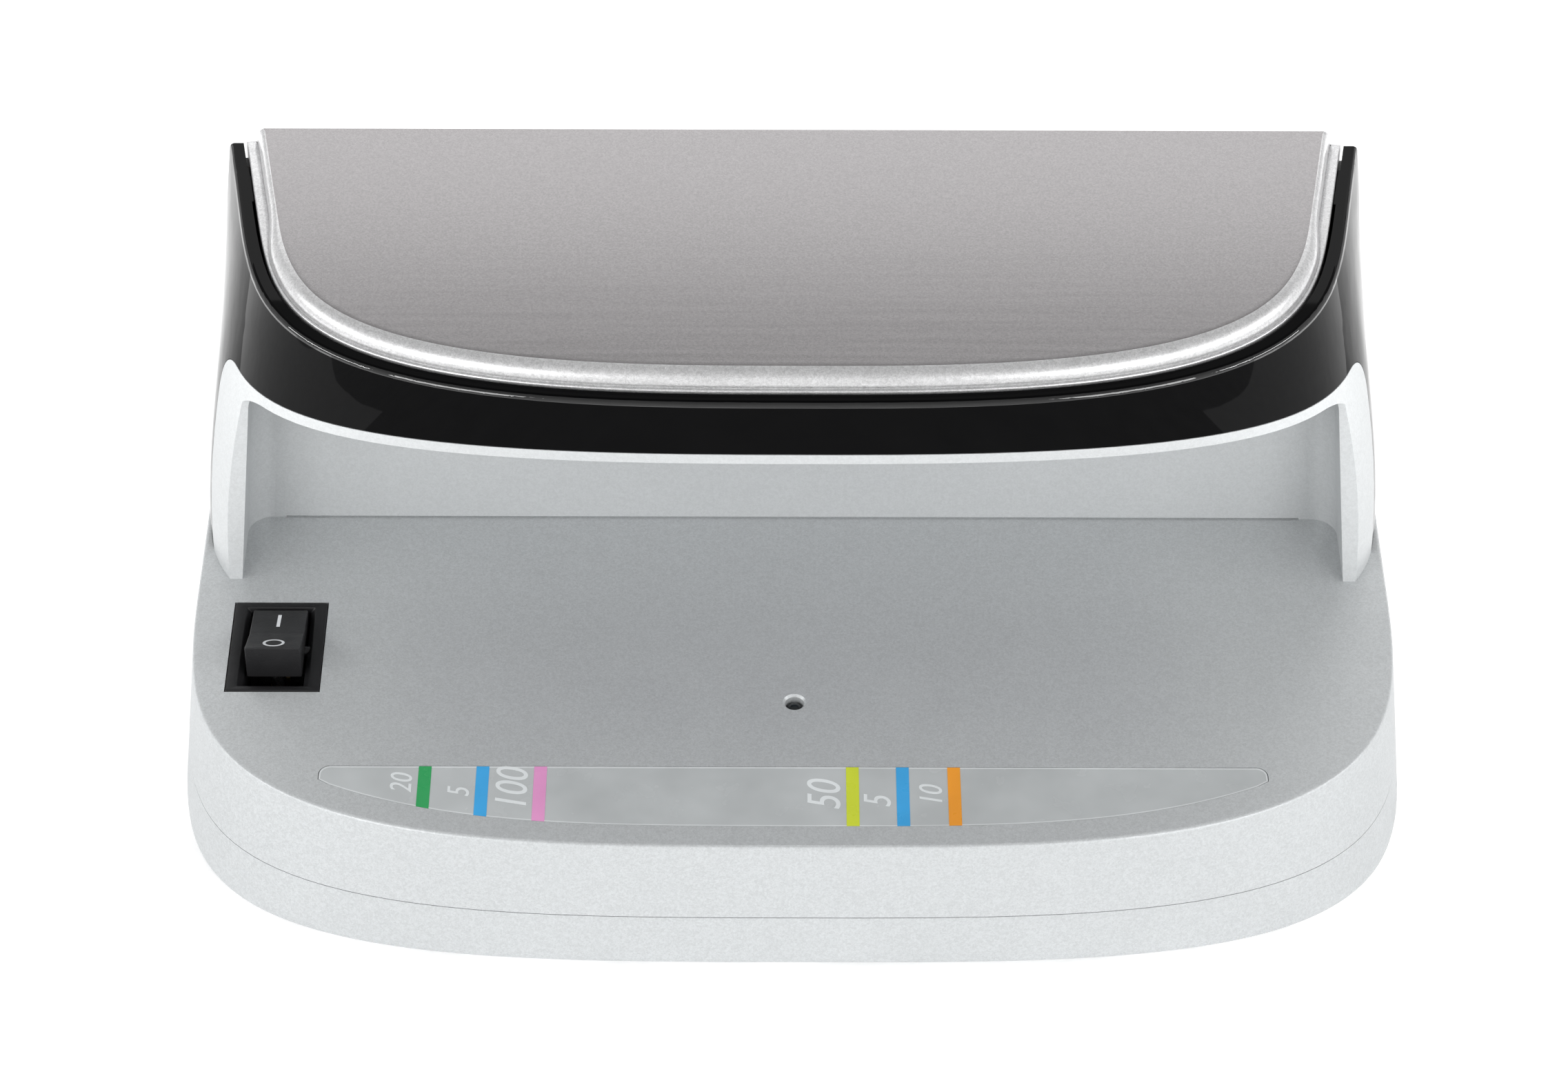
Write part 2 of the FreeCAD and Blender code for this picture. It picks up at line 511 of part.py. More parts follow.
# ---------------------------------------------------------------- rocker switch and status lamp
def make_switch():
    """Snap-in rocker switch. The rocker rests with its rear half pressed."""
    low = "deck_top + bezel_proud - bezel_height"
    bezel = plate("Bezel", ("bezel_wide", "bezel_long"),
                  ("bezel_wide - 2 * bezel_slope", "bezel_long - 2 * bezel_slope"),
                  "bezel_height", ("switch_x", "switch_y", low))
    bevel = plate("WellBevel", ("well_wide", "well_long"),
                  ("well_wide + 2 * well_bevel", "well_long + 2 * well_end_bevel"), "well_bevel",
                  ("switch_x", "switch_y", "deck_top + bezel_proud - well_bevel"))
    case = box("SwitchCase", ("switch_wide", "switch_long", "switch_depth - 1"),
               ("switch_x - switch_wide / 2", "switch_y - switch_long / 2", "deck_top - switch_depth"))
    well = box("SwitchWell", ("well_wide", "well_long", 20),
               ("switch_x - well_wide / 2", "switch_y - well_long / 2", "well_floor"))
    bearing = cylinder("SwitchBearing", "rocker_pin + pin_clearance", "rocker_wide + 2.4",
                       ("switch_x - rocker_wide / 2 - 1.2", "switch_y", "rocker_pivot"), "X")
    blade_slots = [box(f"BladeSlot{i}", ("blade_wide", "blade_thick", 8),
                       ("switch_x - blade_wide / 2",
                        f"switch_y + ({side}) * blade_pitch / 2 - blade_thick / 2",
                        "deck_top - switch_depth - 1")) for i, side in enumerate((-1, 1))]
    subpart(cut("SwitchHousing", fuse("SwitchSolid", bezel, case), well, bevel, bearing, *blade_slots),
            "switch_housing")

    body, sketch = body_sketch("Rocker", "YZ_Plane")
    draw_loop(sketch, [("-rocker_half", "rocker_rise"), (0, "rocker_rise - rocker_dish"),
                       ("rocker_half", "rocker_rise"), ("rocker_half - rocker_taper", "-rocker_below"),
                       (2.5, "-rocker_belly"), (-2.5, "-rocker_belly"),
                       ("rocker_taper - rocker_half", "-rocker_below")])
    pad(body, sketch, "rocker_wide", midplane=True)
    pins = body.newObject("Sketcher::SketchObject", "Rocker_pins")
    pins.AttachmentSupport = sketch.AttachmentSupport
    pins.MapMode = "FlatFace"
    draw_circle(pins, 0, 0, "rocker_pin")
    pin_pad = body.newObject("PartDesign::Pad", "Rocker_pin_pad")
    pin_pad.Profile = pins
    pin_pad.Midplane = True
    bind(pin_pad, Length="rocker_wide + 2")
    body.Tip = pin_pad
    tilt = FreeCAD.Rotation(Vector(1, 0, 0), -value("rocker_tilt"))
    pivot = Vector(value("switch_x"), value("switch_y"), value("rocker_pivot"))
    body.Placement = FreeCAD.Placement(pivot, tilt)
    subpart(body, "switch_rocker")

    stem = cylinder("PlungerStem", "plunger_radius", "plunger_length - plunger_radius",
                    (0, 0, "-rocker_belly - plunger_length + plunger_radius"))
    tip = doc.addObject("Part::Sphere", "PlungerTip")
    bind(tip, Radius="plunger_radius")
    place(tip, 0, 0, "-rocker_belly - plunger_length + plunger_radius")
    plunger = fuse("Plunger", stem, tip)
    plunger.Placement = FreeCAD.Placement(pivot, tilt)
    subpart(plunger, "switch_plunger")

    contact = box("Contact", (3, 11, 0.6), ("switch_x - 1.5", "switch_y - 5.5", "well_floor"))
    subpart(contact, "switch_contact")
    blades = [cut(f"Blade{i}", box(f"BladePlate{i}", ("blade_wide", "blade_thick", "blade_length"),
                                   ("switch_x - blade_wide / 2",
                                    f"switch_y + ({side}) * blade_pitch / 2 - blade_thick / 2",
                                    "deck_top - switch_depth + 1 - blade_length")),
                  cylinder(f"BladeHole{i}", 0.8, 4, ("switch_x", f"switch_y + ({side}) * blade_pitch / 2 - 2",
                                                    "deck_top - switch_depth + 3.4 - blade_length"), "Y"))
              for i, side in enumerate((-1, 1))]
    subpart(group("Blades", *blades), "switch_terminals")


def make_status_lamp():
    top = "led_board_top"
    flange = cylinder("LedFlange", 1.6, 1, ("led_x", "led_y", top))
    barrel = cylinder("LedBarrel", "led_body", 3.4, ("led_x", "led_y", top))
    dome = doc.addObject("Part::Sphere", "LedDome")
    bind(dome, Radius="led_body")
    place(dome, "led_x", "led_y", f"{top} + 3.4")
    subpart(fuse("Led", flange, barrel, dome), "indicator_led")
    board = box("LedBoard", (22, 9, "led_board_thickness"),
                ("led_x - 11", "led_y - 4.5", "led_board_top - led_board_thickness"))
    subpart(board, "indicator_board")


# ---------------------------------------------------------------- hood
def arch_height(x, lowered):
    """Height of the arch's curve at x: nearly level, and dropping towards the pillars."""
    share = abs(x) / value("arch_reach")
    return value("arch_centre") - lowered - value("arch_drop") * share ** value("arch_power")


def arch_block(lowered, below, rear, half=PAST_SIDE):
    """What lies under the arch's curve between -half and half, in front of rear, with a flat underside."""
    shares = (-1, -0.93, -0.86, -0.75, -0.6, -0.4, 0, 0.4, 0.6, 0.75, 0.86, 0.93, 1)
    xs = [PAST_SIDE * share for share in shares]
    points = [Vector(x, PAST_FRONT, arch_height(x, lowered)) for x in xs]
    curve = Part.BSplineCurve()
    curve.interpolate(points)
    corners = [points[-1], Vector(PAST_SIDE, PAST_FRONT, below), Vector(-PAST_SIDE, PAST_FRONT, below),
               points[0]]
    sides = [Part.LineSegment(a, b).toShape() for a, b in zip(corners, corners[1:])]
    deep = rear - PAST_FRONT
    block = Part.Face(Part.Wire([curve.toShape()] + sides)).extrude(Vector(0, deep, 0))
    if half < PAST_SIDE:
        trim = Part.makeBox(2 * half, deep, PAST_TOP - below, Vector(-half, PAST_FRONT, below))
        block = block.common(trim).Solids[0]
    return block


def before_plane(foot, lean):
    """All that is in front of a leaning plane which stands on the deck at Y = foot."""
    deck = value("deck_top")
    below = deck - UNDER_DECK
    profile = [Vector(-PAST_SIDE, PAST_FRONT, below), Vector(-PAST_SIDE, foot + lean * (below - deck), below),
               Vector(-PAST_SIDE, foot + lean * (PAST_TOP - deck), PAST_TOP),
               Vector(-PAST_SIDE, PAST_FRONT, PAST_TOP)]
    return Part.Face(Part.makePolygon(profile + profile[:1])).extrude(Vector(2 * PAST_SIDE, 0, 0))


def arch_solid(lowered=0.0, forward=0.0):
    """What the frame's pillars and arch fill: under the arch and in front of the pillar joint."""
    deck, past_joint = value("deck_top"), 45.0
    solid = arch_block(lowered, deck - UNDER_DECK, past_joint)
    solid = solid.common(before_plane(value("pillar_rear") - forward, value("pillar_lean"))).Solids[0]
    shoulder = [edge for edge in solid.Edges if edge.BoundBox.XLength > PAST_SIDE
                and edge.BoundBox.YMin > value("pillar_rear") and edge.BoundBox.ZMin > deck]
    return solid.makeFillet(value("shoulder_radius") - lowered, shoulder)


def front_opening():
    """The wide mouth in front of the pillars' leaning faces, with rounded upper corners."""
    deck, half, strip = value("deck_top"), value("opening_half"), value("arch_strip")
    below, rear, corner = deck - UNDER_DECK / 2, 30.0, value("opening_corner")
    mouth = arch_block(strip, below, rear, half)
    upper = [edge for edge in mouth.Edges if edge.BoundBox.XLength < TINY and edge.BoundBox.ZLength < TINY
             and edge.BoundBox.ZMin > deck]
    mouth = mouth.makeFillet(corner, upper)
    shoulder = arch_height(half, strip) - corner
    foot = Part.makeBox(2 * PAST_SIDE, rear - PAST_FRONT, shoulder - below,
                        Vector(-PAST_SIDE, PAST_FRONT, below))
    mouth = mouth.fuse(foot)
    return mouth.common(before_plane(value("pillar_front"), value("pillar_front_lean"))).Solids[0]


def chamber_solid():
    """The space under the hood that a banknote slides into."""
    deck, low, draft = value("deck_top"), value("chamber_low"), value("chamber_draft")
    rear, below, high = value("back_wall"), deck - UNDER_DECK / 2, value("arch_centre")
    block = arch_block(value("arch_strip"), below, rear, low)
    profile = [Vector(side * (low - draft * (z - deck)), PAST_FRONT, z)
               for side, z in ((-1, below), (1, below), (1, high), (-1, high))]
    walls = Part.Face(Part.makePolygon(profile + profile[:1])).extrude(Vector(0, rear - PAST_FRONT, 0))
    space = block.common(walls).Solids[0]
    half_way = (deck + high) / 2
    ceiling = [edge for edge in space.Edges if edge.BoundBox.YLength > TINY and edge.BoundBox.ZMin > half_way
               and edge.BoundBox.XLength < value("chamber_corner")]
    space = space.makeFillet(value("chamber_corner"), ceiling)
    upright = [edge for edge in space.Edges
               if edge.BoundBox.YLength < TINY and abs(edge.BoundBox.YMax - rear) < TINY
               and edge.BoundBox.ZLength > edge.BoundBox.XLength + value("chamber_corner")]
    return space.makeFillet(value("chamber_rear_corner"), upright)


def make_hood_shell():
    """Black shell: a drafted D-shaped wall, open behind, arched in front, with blocks for screws."""
    outer = hood_loft()
    rim = [edge for edge in outer.Edges if abs(edge.BoundBox.ZMin - value("hood_top_height")) < 1e-6
           and edge.BoundBox.YLength > 20]
    outer = outer.makeFillet(value("hood_edge_radius"), rim)
    wall = feature("HoodWall", outer.cut(hood_loft(value("wall"), 5.0)).cut(arch_solid()))
    envelope = feature("HoodEnvelope", hood_loft(0.8))
    blocks = []
    for i, side in enumerate((-1, 1)):
        low = 82.5 if side > 0 else -98.0
        high = 77.0 if side > 0 else -93.0
        blocks.append(box(f"HoodLowBlock{i}", (15.5, 9.2, 16), (low, "rear_face - rear_cover_thickness - 9.2",
                                                                "deck_top")))
        blocks.append(box(f"HoodHighBlock{i}", (16, 9.2, 7.4), (high, "rear_face - rear_cover_thickness - 9.2",
                                                                "lid_bottom - 7.6")))
    fitted = common("HoodBlocks", envelope, fuse("HoodBlockPair", *blocks))
    holes = [cylinder(f"HoodPostHole{i}", "screw_hole", 9.4, (x, y, "deck_top - 1"))
             for i, (x, y) in enumerate(HOOD_SCREWS[:2])]
    holes += [cylinder(f"HoodRearHole{i}", "screw_hole", 9.6, (x, "rear_face - 11.8", z), "Y")
              for i, (x, z) in enumerate(REAR_COVER_SCREWS)]
    holes += [cylinder(f"HoodLidHole{i}", "screw_hole", 12, (x, y, "lid_bottom - 10"))
              for i, (x, y) in enumerate(LID_SCREWS)]
    subpart(cut("HoodShell", fuse("HoodSolid", wall, fitted), *holes), "hood_shell")


def make_front_frame():
    """Silver frame: pillars and arched strip flush with the hood, chamber walls, roof and back wall."""
    deck = value("deck_top")
    groove = value("groove")
    face = feature("FrameFaceWhole", hood_loft().common(arch_solid(groove, groove)))
    envelope = feature("FrameEnvelope", hood_loft(value("wall") + 0.15, 5.0))
    rear = value("back_wall") + value("back_wall_thickness")
    face = cut("FrameFace", face, box("FrameFaceRear", (176, 40, 50), (-88, rear, "deck_top")))
    liner_half = value("chamber_low") + value("liner")
    slab = box("FrameBlock", (2 * liner_half, 45, "arch_centre - deck_top - groove"),
               (-liner_half, rear - 45, "deck_top"))
    wall = box("FrameBackWall", (2 * liner_half, "back_wall_thickness", "back_wall_top - deck_top"),
               (-liner_half, "back_wall", "deck_top"))
    inside = common("FrameInside", envelope, fuse("FrameInsideBlocks", slab, wall))
    above = feature("FrameAbove", liner_top_space())
    posts = [cylinder(f"FramePost{i}", "boss_radius", 14, (x, y, "deck_top"))
             for i, (x, y) in enumerate(HOOD_SCREWS[2:])]
    solid = fuse("FrameSolid", face, cut("FrameLiner", inside, above), *posts)
    tools = [feature("Chamber", chamber_solid()), feature("FrontOpening", front_opening()),
             box("LampOpening", ("2 * lamp_opening_half", "back_wall - lamp_opening_front", 30),
                 ("-lamp_opening_half", "lamp_opening_front", 50)),
             box("HolderOpening", ("2 * holder_opening_half", "back_wall - holder_opening_front", 30),
                 ("-holder_opening_half", "holder_opening_front", 50))]
    tools += [cylinder(f"FramePostHole{i}", "screw_hole", 9.4, (x, y, "deck_top - 1"))
              for i, (x, y) in enumerate(HOOD_SCREWS[2:])]
    tools += [cylinder(f"FrameReflectorHole{i}", "screw_hole", 6, (x, "back_wall - 2", "reflector_screw_z"),
                       "Y")
              for i, x in enumerate(REFLECTOR_SCREWS)]
    tools += [cylinder(f"FrameHolderHole{i}", "screw_hole", 6, (x, "back_wall - 2", "holder_screw_z"), "Y")
              for i, x in enumerate((-HOLDER_SCREW_X, HOLDER_SCREW_X))]
    tools += [cylinder(f"FrameWireHole{i}", "wire_radius + 0.5", 6, (x, "back_wall - 2", "lamp_wire_z"), "Y")
              for i, x in enumerate((-HOLDER_SCREW_X, HOLDER_SCREW_X))]
    ledge = box("FrameLedge", (150, "ledge_depth", 30), (-75, "back_wall", "ledge_height"))
    foot_half = value("chamber_low") - 1.5 * value("chamber_rear_corner")
    foot_groove = box("FrameFootGroove", (2 * foot_half, "foot_groove", "foot_groove"),
                      (-foot_half, "back_wall", "deck_top"))
    subpart(cut("Frame", solid, *tools, ledge, foot_groove), "front_frame")


def liner_top_space():
    """What lies above the frame's thin roof and in front of its back wall."""
    rear, deck = value("back_wall"), value("deck_top")
    under = arch_block(value("groove") + value("roof_step"), deck, rear)
    corner = Vector(-PAST_SIDE, PAST_FRONT, deck)
    return Part.makeBox(2 * PAST_SIDE, rear - PAST_FRONT, PAST_TOP, corner).cut(under).Solids[0]


def make_lid():
    """Silver lid: a rim in the hood's mouth and a raised panel with a rounded edge."""
    top = hood_outline(value("hood_top_height"))
    rim_inset = value("wall") + value("lid_gap")
    bottom, rim, panel = value("lid_bottom"), value("lid_rim"), value("lid_panel")
    rim_plate = feature("LidRim", outline_loft([(top, bottom), (top, rim)], rim_inset))
    raised = outline_loft([(top, rim - 1), (top, panel)], rim_inset + value("lid_step"))
    edges = [edge for edge in raised.Edges
             if abs(edge.BoundBox.ZMin - panel) < 1e-6 and edge.BoundBox.YLength > 20]
    raised = feature("LidPanel", raised.makeFillet(value("lid_edge_radius"), edges))
    hollow = feature("LidHollow", outline_loft([(top, bottom - 1), (top, panel - value("lid_plate"))],
                                               rim_inset + value("lid_step") + 1.6, -2.0))
    plate = cut("LidPlate", fuse("LidSolid", rim_plate, raised), hollow)
    bosses = [cylinder(f"LidBoss{i}", "boss_radius", 5, (x, y, "lid_bottom"))
              for i, (x, y) in enumerate(LID_SCREWS)]
    holes = [cylinder(f"LidHole{i}", "screw_hole", 3.2, (x, y, "lid_bottom - 0.2"))
             for i, (x, y) in enumerate(LID_SCREWS)]
    subpart(cut("Lid", fuse("LidWhole", plate, *bosses), *holes), "top_lid")


def make_rear_cover():
    """Closes the rear compartment: vent slots, screw recesses and the power jack's hole."""
    envelope = feature("RearEnvelope", hood_loft(value("wall") + 0.2, 1.0))
    slab = box("RearSlab", (200, "rear_cover_thickness", "lid_bottom - deck_top - 0.4"),
               (-100, "rear_face - rear_cover_thickness", "deck_top + 0.2"))
    panel = common("RearPanel", envelope, slab)
    tools = [box(f"RearVent{i}", ("vent_wide", 10, "vent_high"),
                 (f"({i} - 5) * vent_pitch - vent_wide / 2", "rear_face - 6", 46)) for i in range(11)]
    tools += [cylinder(f"RearHead{i}", "head_radius + film_gap", 6, (x, "rear_face - 0.2 - head_height", z),
                       "Y")
              for i, (x, z) in enumerate(REAR_COVER_SCREWS)]
    tools += [cylinder(f"RearHole{i}", "screw_hole", 10, (x, "rear_face - 6", z), "Y")
              for i, (x, z) in enumerate(REAR_COVER_SCREWS)]
    tools.append(cylinder("RearJackHole", "jack_nose + 0.15", 10,
                          ("jack_x", "rear_face - 6", "board_bottom + board_thickness + jack_rise"), "Y"))
    subpart(cut("RearCover", panel, *tools), "rear_cover")


# ---------------------------------------------------------------- ultraviolet lamp
def make_lamp():
    half = "tube_length / 2"
    glass = cut("Glass", cylinder("GlassOuter", "tube_radius", "tube_length - 2 * cap_length",
                                  (f"cap_length - {half}", "tube_y", "tube_z"), "X"),
                cylinder("GlassBore", "tube_radius - glass_wall", "tube_length",
                         (f"0 - {half}", "tube_y", "tube_z"), "X"))
    subpart(glass, "uv_lamp_tube")
    caps = [cylinder("CapLeft", "cap_radius", "cap_length", (f"0 - {half}", "tube_y", "tube_z"), "X"),
            cylinder("CapRight", "cap_radius", "cap_length", (f"{half} - cap_length", "tube_y", "tube_z"),
                     "X")]
    subpart(group("Caps", *caps), "lamp_end_caps")
    pins = []
    for side, start in (("Left", f"0 - {half} - pin_length"), ("Right", half)):
        for k, sign in enumerate((-1, 1)):
            pins.append(cylinder(f"LampPin{side}{k}", "pin_radius", "pin_length",
                                 (start, f"tube_y + ({sign}) * pin_spacing / 2", "tube_z"), "X"))
    subpart(group("Pins", *pins), "lamp_pins")

    for side, sign in (("left", -1), ("right", 1)):
        inner = "tube_length / 2 + holder_gap"
        start = inner if sign > 0 else f"0 - ({inner}) - holder_thick"
        block = box(f"Holder_{side}", ("holder_thick", "back_wall - holder_front", "holder_high - holder_low"),
                    (start, "holder_front", "holder_low"))
        rotor_start = f"{inner} - 1" if sign > 0 else f"0 - ({inner}) - holder_thick + 1"
        rotor = cylinder(f"HolderRotor_{side}", "rotor_radius", "holder_thick",
                         (rotor_start, "tube_y", "tube_z"), "X")
        slot = box(f"HolderSlot_{side}", ("holder_thick", "pin_slot", "tube_z - holder_low + 1"),
                   (rotor_start, "tube_y - pin_slot / 2", "holder_low - 1"))
        corner = box(f"HolderCorner_{side}", (6, 6, 6),
                     (74.4 if sign > 0 else -80.4, "holder_front - 4.6", 62.6))
        screw_bore = cylinder(f"HolderBore_{side}", "screw_hole", 5, (sign * HOLDER_SCREW_X, "back_wall - 4.4",
                                                                     "holder_screw_z"), "Y")
        rebate = box(f"HolderRebate_{side}", ("holder_thick", "holder_rebate", "holder_rebate"),
                     (start, "holder_front", "holder_low"))
        subpart(cut(f"HolderPart_{side}", block, rotor, slot, corner, rebate, screw_bore),
                f"lamp_holder_{side}")


def make_reflector():
    """Bent aluminium sheet over the tube, with a leg against the back wall and a short front leg."""
    radius, sheet_wall = value("reflector_radius"), value("reflector_sheet")
    y, z, foot = value("tube_y"), value("tube_z"), value("reflector_leg")
    x = -value("reflector_half")

    def half_ring(r, reverse):
        ends = [Vector(x, y + r, z), Vector(x, y, z + r), Vector(x, y - r, z)]
        return Part.Arc(*(reversed(ends) if reverse else ends)).toShape()

    outer, inner = radius + sheet_wall, radius
    edges = [Part.LineSegment(Vector(x, y + outer, foot), Vector(x, y + outer, z)).toShape(),
             half_ring(outer, False),
             Part.LineSegment(Vector(x, y - outer, z), Vector(x, y - outer, z - 2)).toShape(),
             Part.LineSegment(Vector(x, y - outer, z - 2), Vector(x, y - inner, z - 2)).toShape(),
             Part.LineSegment(Vector(x, y - inner, z - 2), Vector(x, y - inner, z)).toShape(),
             half_ring(inner, True),
             Part.LineSegment(Vector(x, y + inner, z), Vector(x, y + inner, foot)).toShape(),
             Part.LineSegment(Vector(x, y + inner, foot), Vector(x, y + outer, foot)).toShape()]
    sheet_solid = Part.Face(Part.Wire(edges)).extrude(Vector(-2 * x, 0, 0))
    holes = [cylinder(f"ReflectorHole{i}", "screw_hole", 4, (at, "back_wall - 3", "reflector_screw_z"), "Y")
             for i, at in enumerate(REFLECTOR_SCREWS)]
    subpart(cut("Reflector", feature("ReflectorSheet", sheet_solid), *holes), "lamp_reflector")


# ---------------------------------------------------------------- electronics
def make_board():
    """Inverter board on four spacers in the rear compartment, and what stands on it."""
    spacers = [cut(f"Spacer{i}",
                   cylinder(f"SpacerBody{i}", "board_post", "board_bottom - deck_top", (x, y, "deck_top")),
                   cylinder(f"SpacerBore{i}", "screw_hole + 0.1", 8, (x, y, "deck_top - 1")))
               for i, (x, y) in enumerate(BOARD_SCREWS)]
    subpart(group("Spacers", *spacers), "board_spacers")
    top = "board_bottom + board_thickness"
    board = box("Board", ("board_right - board_left", "board_rear - board_front", "board_thickness"),
                ("board_left", "board_front", "board_bottom"))
    holes = [cylinder(f"BoardHole{i}", "screw_hole", 6, (x, y, "board_bottom - 2"))
             for i, (x, y) in enumerate(BOARD_SCREWS)]
    subpart(cut("BoardDrilled", board, *holes), "inverter_board")

    core = box("TransformerCore", (20, 6, 15), (0, 37, top))
    coil = cylinder("TransformerCoil", 7.5, 13, (3.5, 40, f"{top} + 7.5"), "X")
    base = box("TransformerBase", (22, 15, 2), (-1, 32.5, top))
    subpart(fuse("Transformer", core, coil, base), "inverter_transformer")
    cans = [cylinder(f"Can{i}", radius, height, (x, y, top))
           
            for i, (x, y, radius, height) in enumerate(CAPACITORS)]
    subpart(group("Cans", *cans), "board_capacitors")
    sink = cut("Sink", box("SinkBlock", (14, 8, 18), (26, 41, top)),
               *[box(f"SinkGap{i}", (2, 6, 18), (28 + 4 * i, 44, f"{top} + 2")) for i in range(3)])
    subpart(sink, "heat_sink")
    transistor = fuse("Transistor", box("TransistorBody", (10, 4.4, 9), (28, 36.6, f"{top} + 3")),
                      box("TransistorTab", (10, 1.3, 15), (28, 39.7, f"{top} + 3")),
                      *[box(f"TransistorLeg{i}", (0.8, 0.8, 3.2),
                            (30.1 + 2.54 * i, 38, top)) for i in range(3)])
    subpart(transistor, "power_transistor")
    sockets = [box("SocketLeft", (8, 6, 6), (-50, 33, top)), box("SocketRight", (8, 6, 6), (40, 34.2, top)),
               box("SocketSwitch", (9, 6, 6), (-62, 35.6, top))]
    subpart(group("Sockets", *sockets), "wire_connectors")

    jack_axis = f"{top} + jack_rise"
    inner_face = "rear_face - rear_cover_thickness"
    body = box("JackBody", ("jack_wide", "jack_deep", "jack_high"),
               ("jack_x - jack_wide / 2", f"{inner_face} - jack_deep", top))
    nose = cylinder("JackNose", "jack_nose", "rear_cover_thickness - 0.4 + 2",
                    ("jack_x", f"{inner_face} - 2", jack_axis),
                    "Y")
    bore = cylinder("JackBore", "jack_bore", 14, ("jack_x", f"{inner_face} - 9", jack_axis), "Y")
    subpart(cut("Jack", fuse("JackSolid", body, nose), bore), "dc_jack")
    subpart(cylinder("JackPin", "jack_pin", 10, ("jack_x", f"{inner_face} - 9", jack_axis), "Y"),
            "dc_jack_pin")


# ---------------------------------------------------------------- wires
def wire(name, points, radius=None):
    """A round wire along straight runs joined by arcs that touch both runs."""
    radius = value("wire_radius") if radius is None else radius
    corners = [Vector(*p) for p in points]
    edges = []
    start = corners[0]
    for before, corner, after in zip(corners, corners[1:], corners[2:]):
        back, ahead = before - corner, after - corner
        shorter = min(back.Length, ahead.Length)
        back.normalize()
        ahead.normalize()
        turn = math.pi - back.getAngle(ahead)
        setback = 0.45 * shorter
        bend = setback / math.tan(turn / 2)
        middle = back + ahead
        middle.normalize()
        enter, leave = corner + back * setback, corner + ahead * setback
        crest = corner + middle * (math.hypot(bend, setback) - bend)
        edges.append(Part.LineSegment(start, enter).toShape())
        edges.append(Part.Arc(enter, crest, leave).toShape())
        start = leave
        print(f"{name} bend radius {bend:.1f}")
    edges.append(Part.LineSegment(start, corners[-1]).toShape())
    path = Part.Wire(edges)
    circle = Part.Wire(Part.makeCircle(radius, corners[0], corners[1] - corners[0]))
    tube = path.makePipeShell([circle], True, False)
    expected = math.pi * radius ** 2 * path.Length
    print(f"{name} volume over section times length {tube.Volume / expected:.4f}")
    return feature(name, tube)


def make_wires():
    board_top = value("board_bottom") + value("board_thickness")
    wall, lamp_z = value("back_wall"), value("lamp_wire_z")
    lamp = []
    for side, socket_x in ((-1, -46), (1, 44)):
        x = side * HOLDER_SCREW_X
        lamp.append(wire(f"LampWire{side + 1}", [(x, wall, lamp_z), (x, 30, lamp_z), (side * 62, 34, 52),
                                                 (socket_x, 37, 48), (socket_x, 37, board_top + 6)]))
    subpart(group("LampWires", *lamp), "lamp_wires")

    x, y = value("switch_x"), value("switch_y")
    blade_face = x + value("blade_wide") / 2
    pitch = value("blade_pitch")
    switch = []
    for i, (dy, lane) in enumerate(((-pitch / 2, -70.0), (pitch / 2, -73.0))):
        socket_x = -60.4 + 2.4 * i
        rise_x = -77.2 + 2.4 * i
        switch.append(wire(f"SwitchWire{i}",
                           [(blade_face, y + dy, 9.4), (lane, y + dy, 9.4), (lane - 1, 12, 9.4),
                                              (lane, 28, 9.4), (rise_x, 38, 16), (rise_x, 38, 34),
                                              (-71 + 2 * i, 38, 44), (socket_x, 38.4, 45),
                                              (socket_x, 38.4, board_top + 6)], 0.8))
    subpart(group("SwitchWires", *switch), "switch_wires")

    led_x, led_y = value("led_x"), value("led_y")
    under = value("led_board_top") - value("led_board_thickness")
    led = wire("LedWire", [(led_x - 6, led_y, under), (led_x - 6, led_y, 14), (-30, led_y + 14, 9.4),
                           (-56, 8, 9.4), (-64, 24, 9.4), (-72.4, 39.5, 15), (-72.4, 41.5, 34),
                           (-64, 41, 46), (-55, 39.6, 46), (-55, 39.6, board_top + 6)], 0.8)
    subpart(led, "indicator_wires")


# ---------------------------------------------------------------- build and write
make_cover()
make_top_shell()
make_label()
make_feet()
make_screws()
make_switch()
make_status_lamp()
make_hood_shell()
make_front_frame()
make_lid()
make_rear_cover()
make_lamp()
make_reflector()
make_board()
make_wires()
doc.recompute()

for thing in doc.Objects:
    if "Invalid" in thing.State or "Error" in thing.State:
        raise RuntimeError(f"{thing.Label} failed: {thing.State}")
for thing in SUBPARTS:
    if thing.Shape.isNull() or not thing.Shape.isValid():
        raise RuntimeError(f"{thing.Label} has a bad shape")
os.makedirs("parts", exist_ok=True)
for thing in SUBPARTS:
    thing.Shape.exportStep(f"parts/{thing.Label}.step")
    bounds = thing.Shape.BoundBox
    print(f"{thing.Label}: {len(thing.Shape.Solids)} solids, {thing.Shape.Volume / 1000:.2f} cm3, "
          f"x {bounds.XMin:.1f}..{bounds.XMax:.1f} y {bounds.YMin:.1f}..{bounds.YMax:.1f} "
          f"z {bounds.ZMin:.1f}..{bounds.ZMax:.1f}")
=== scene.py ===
import json
import math

import bmesh
import bpy
from mathutils import Matrix, Vector


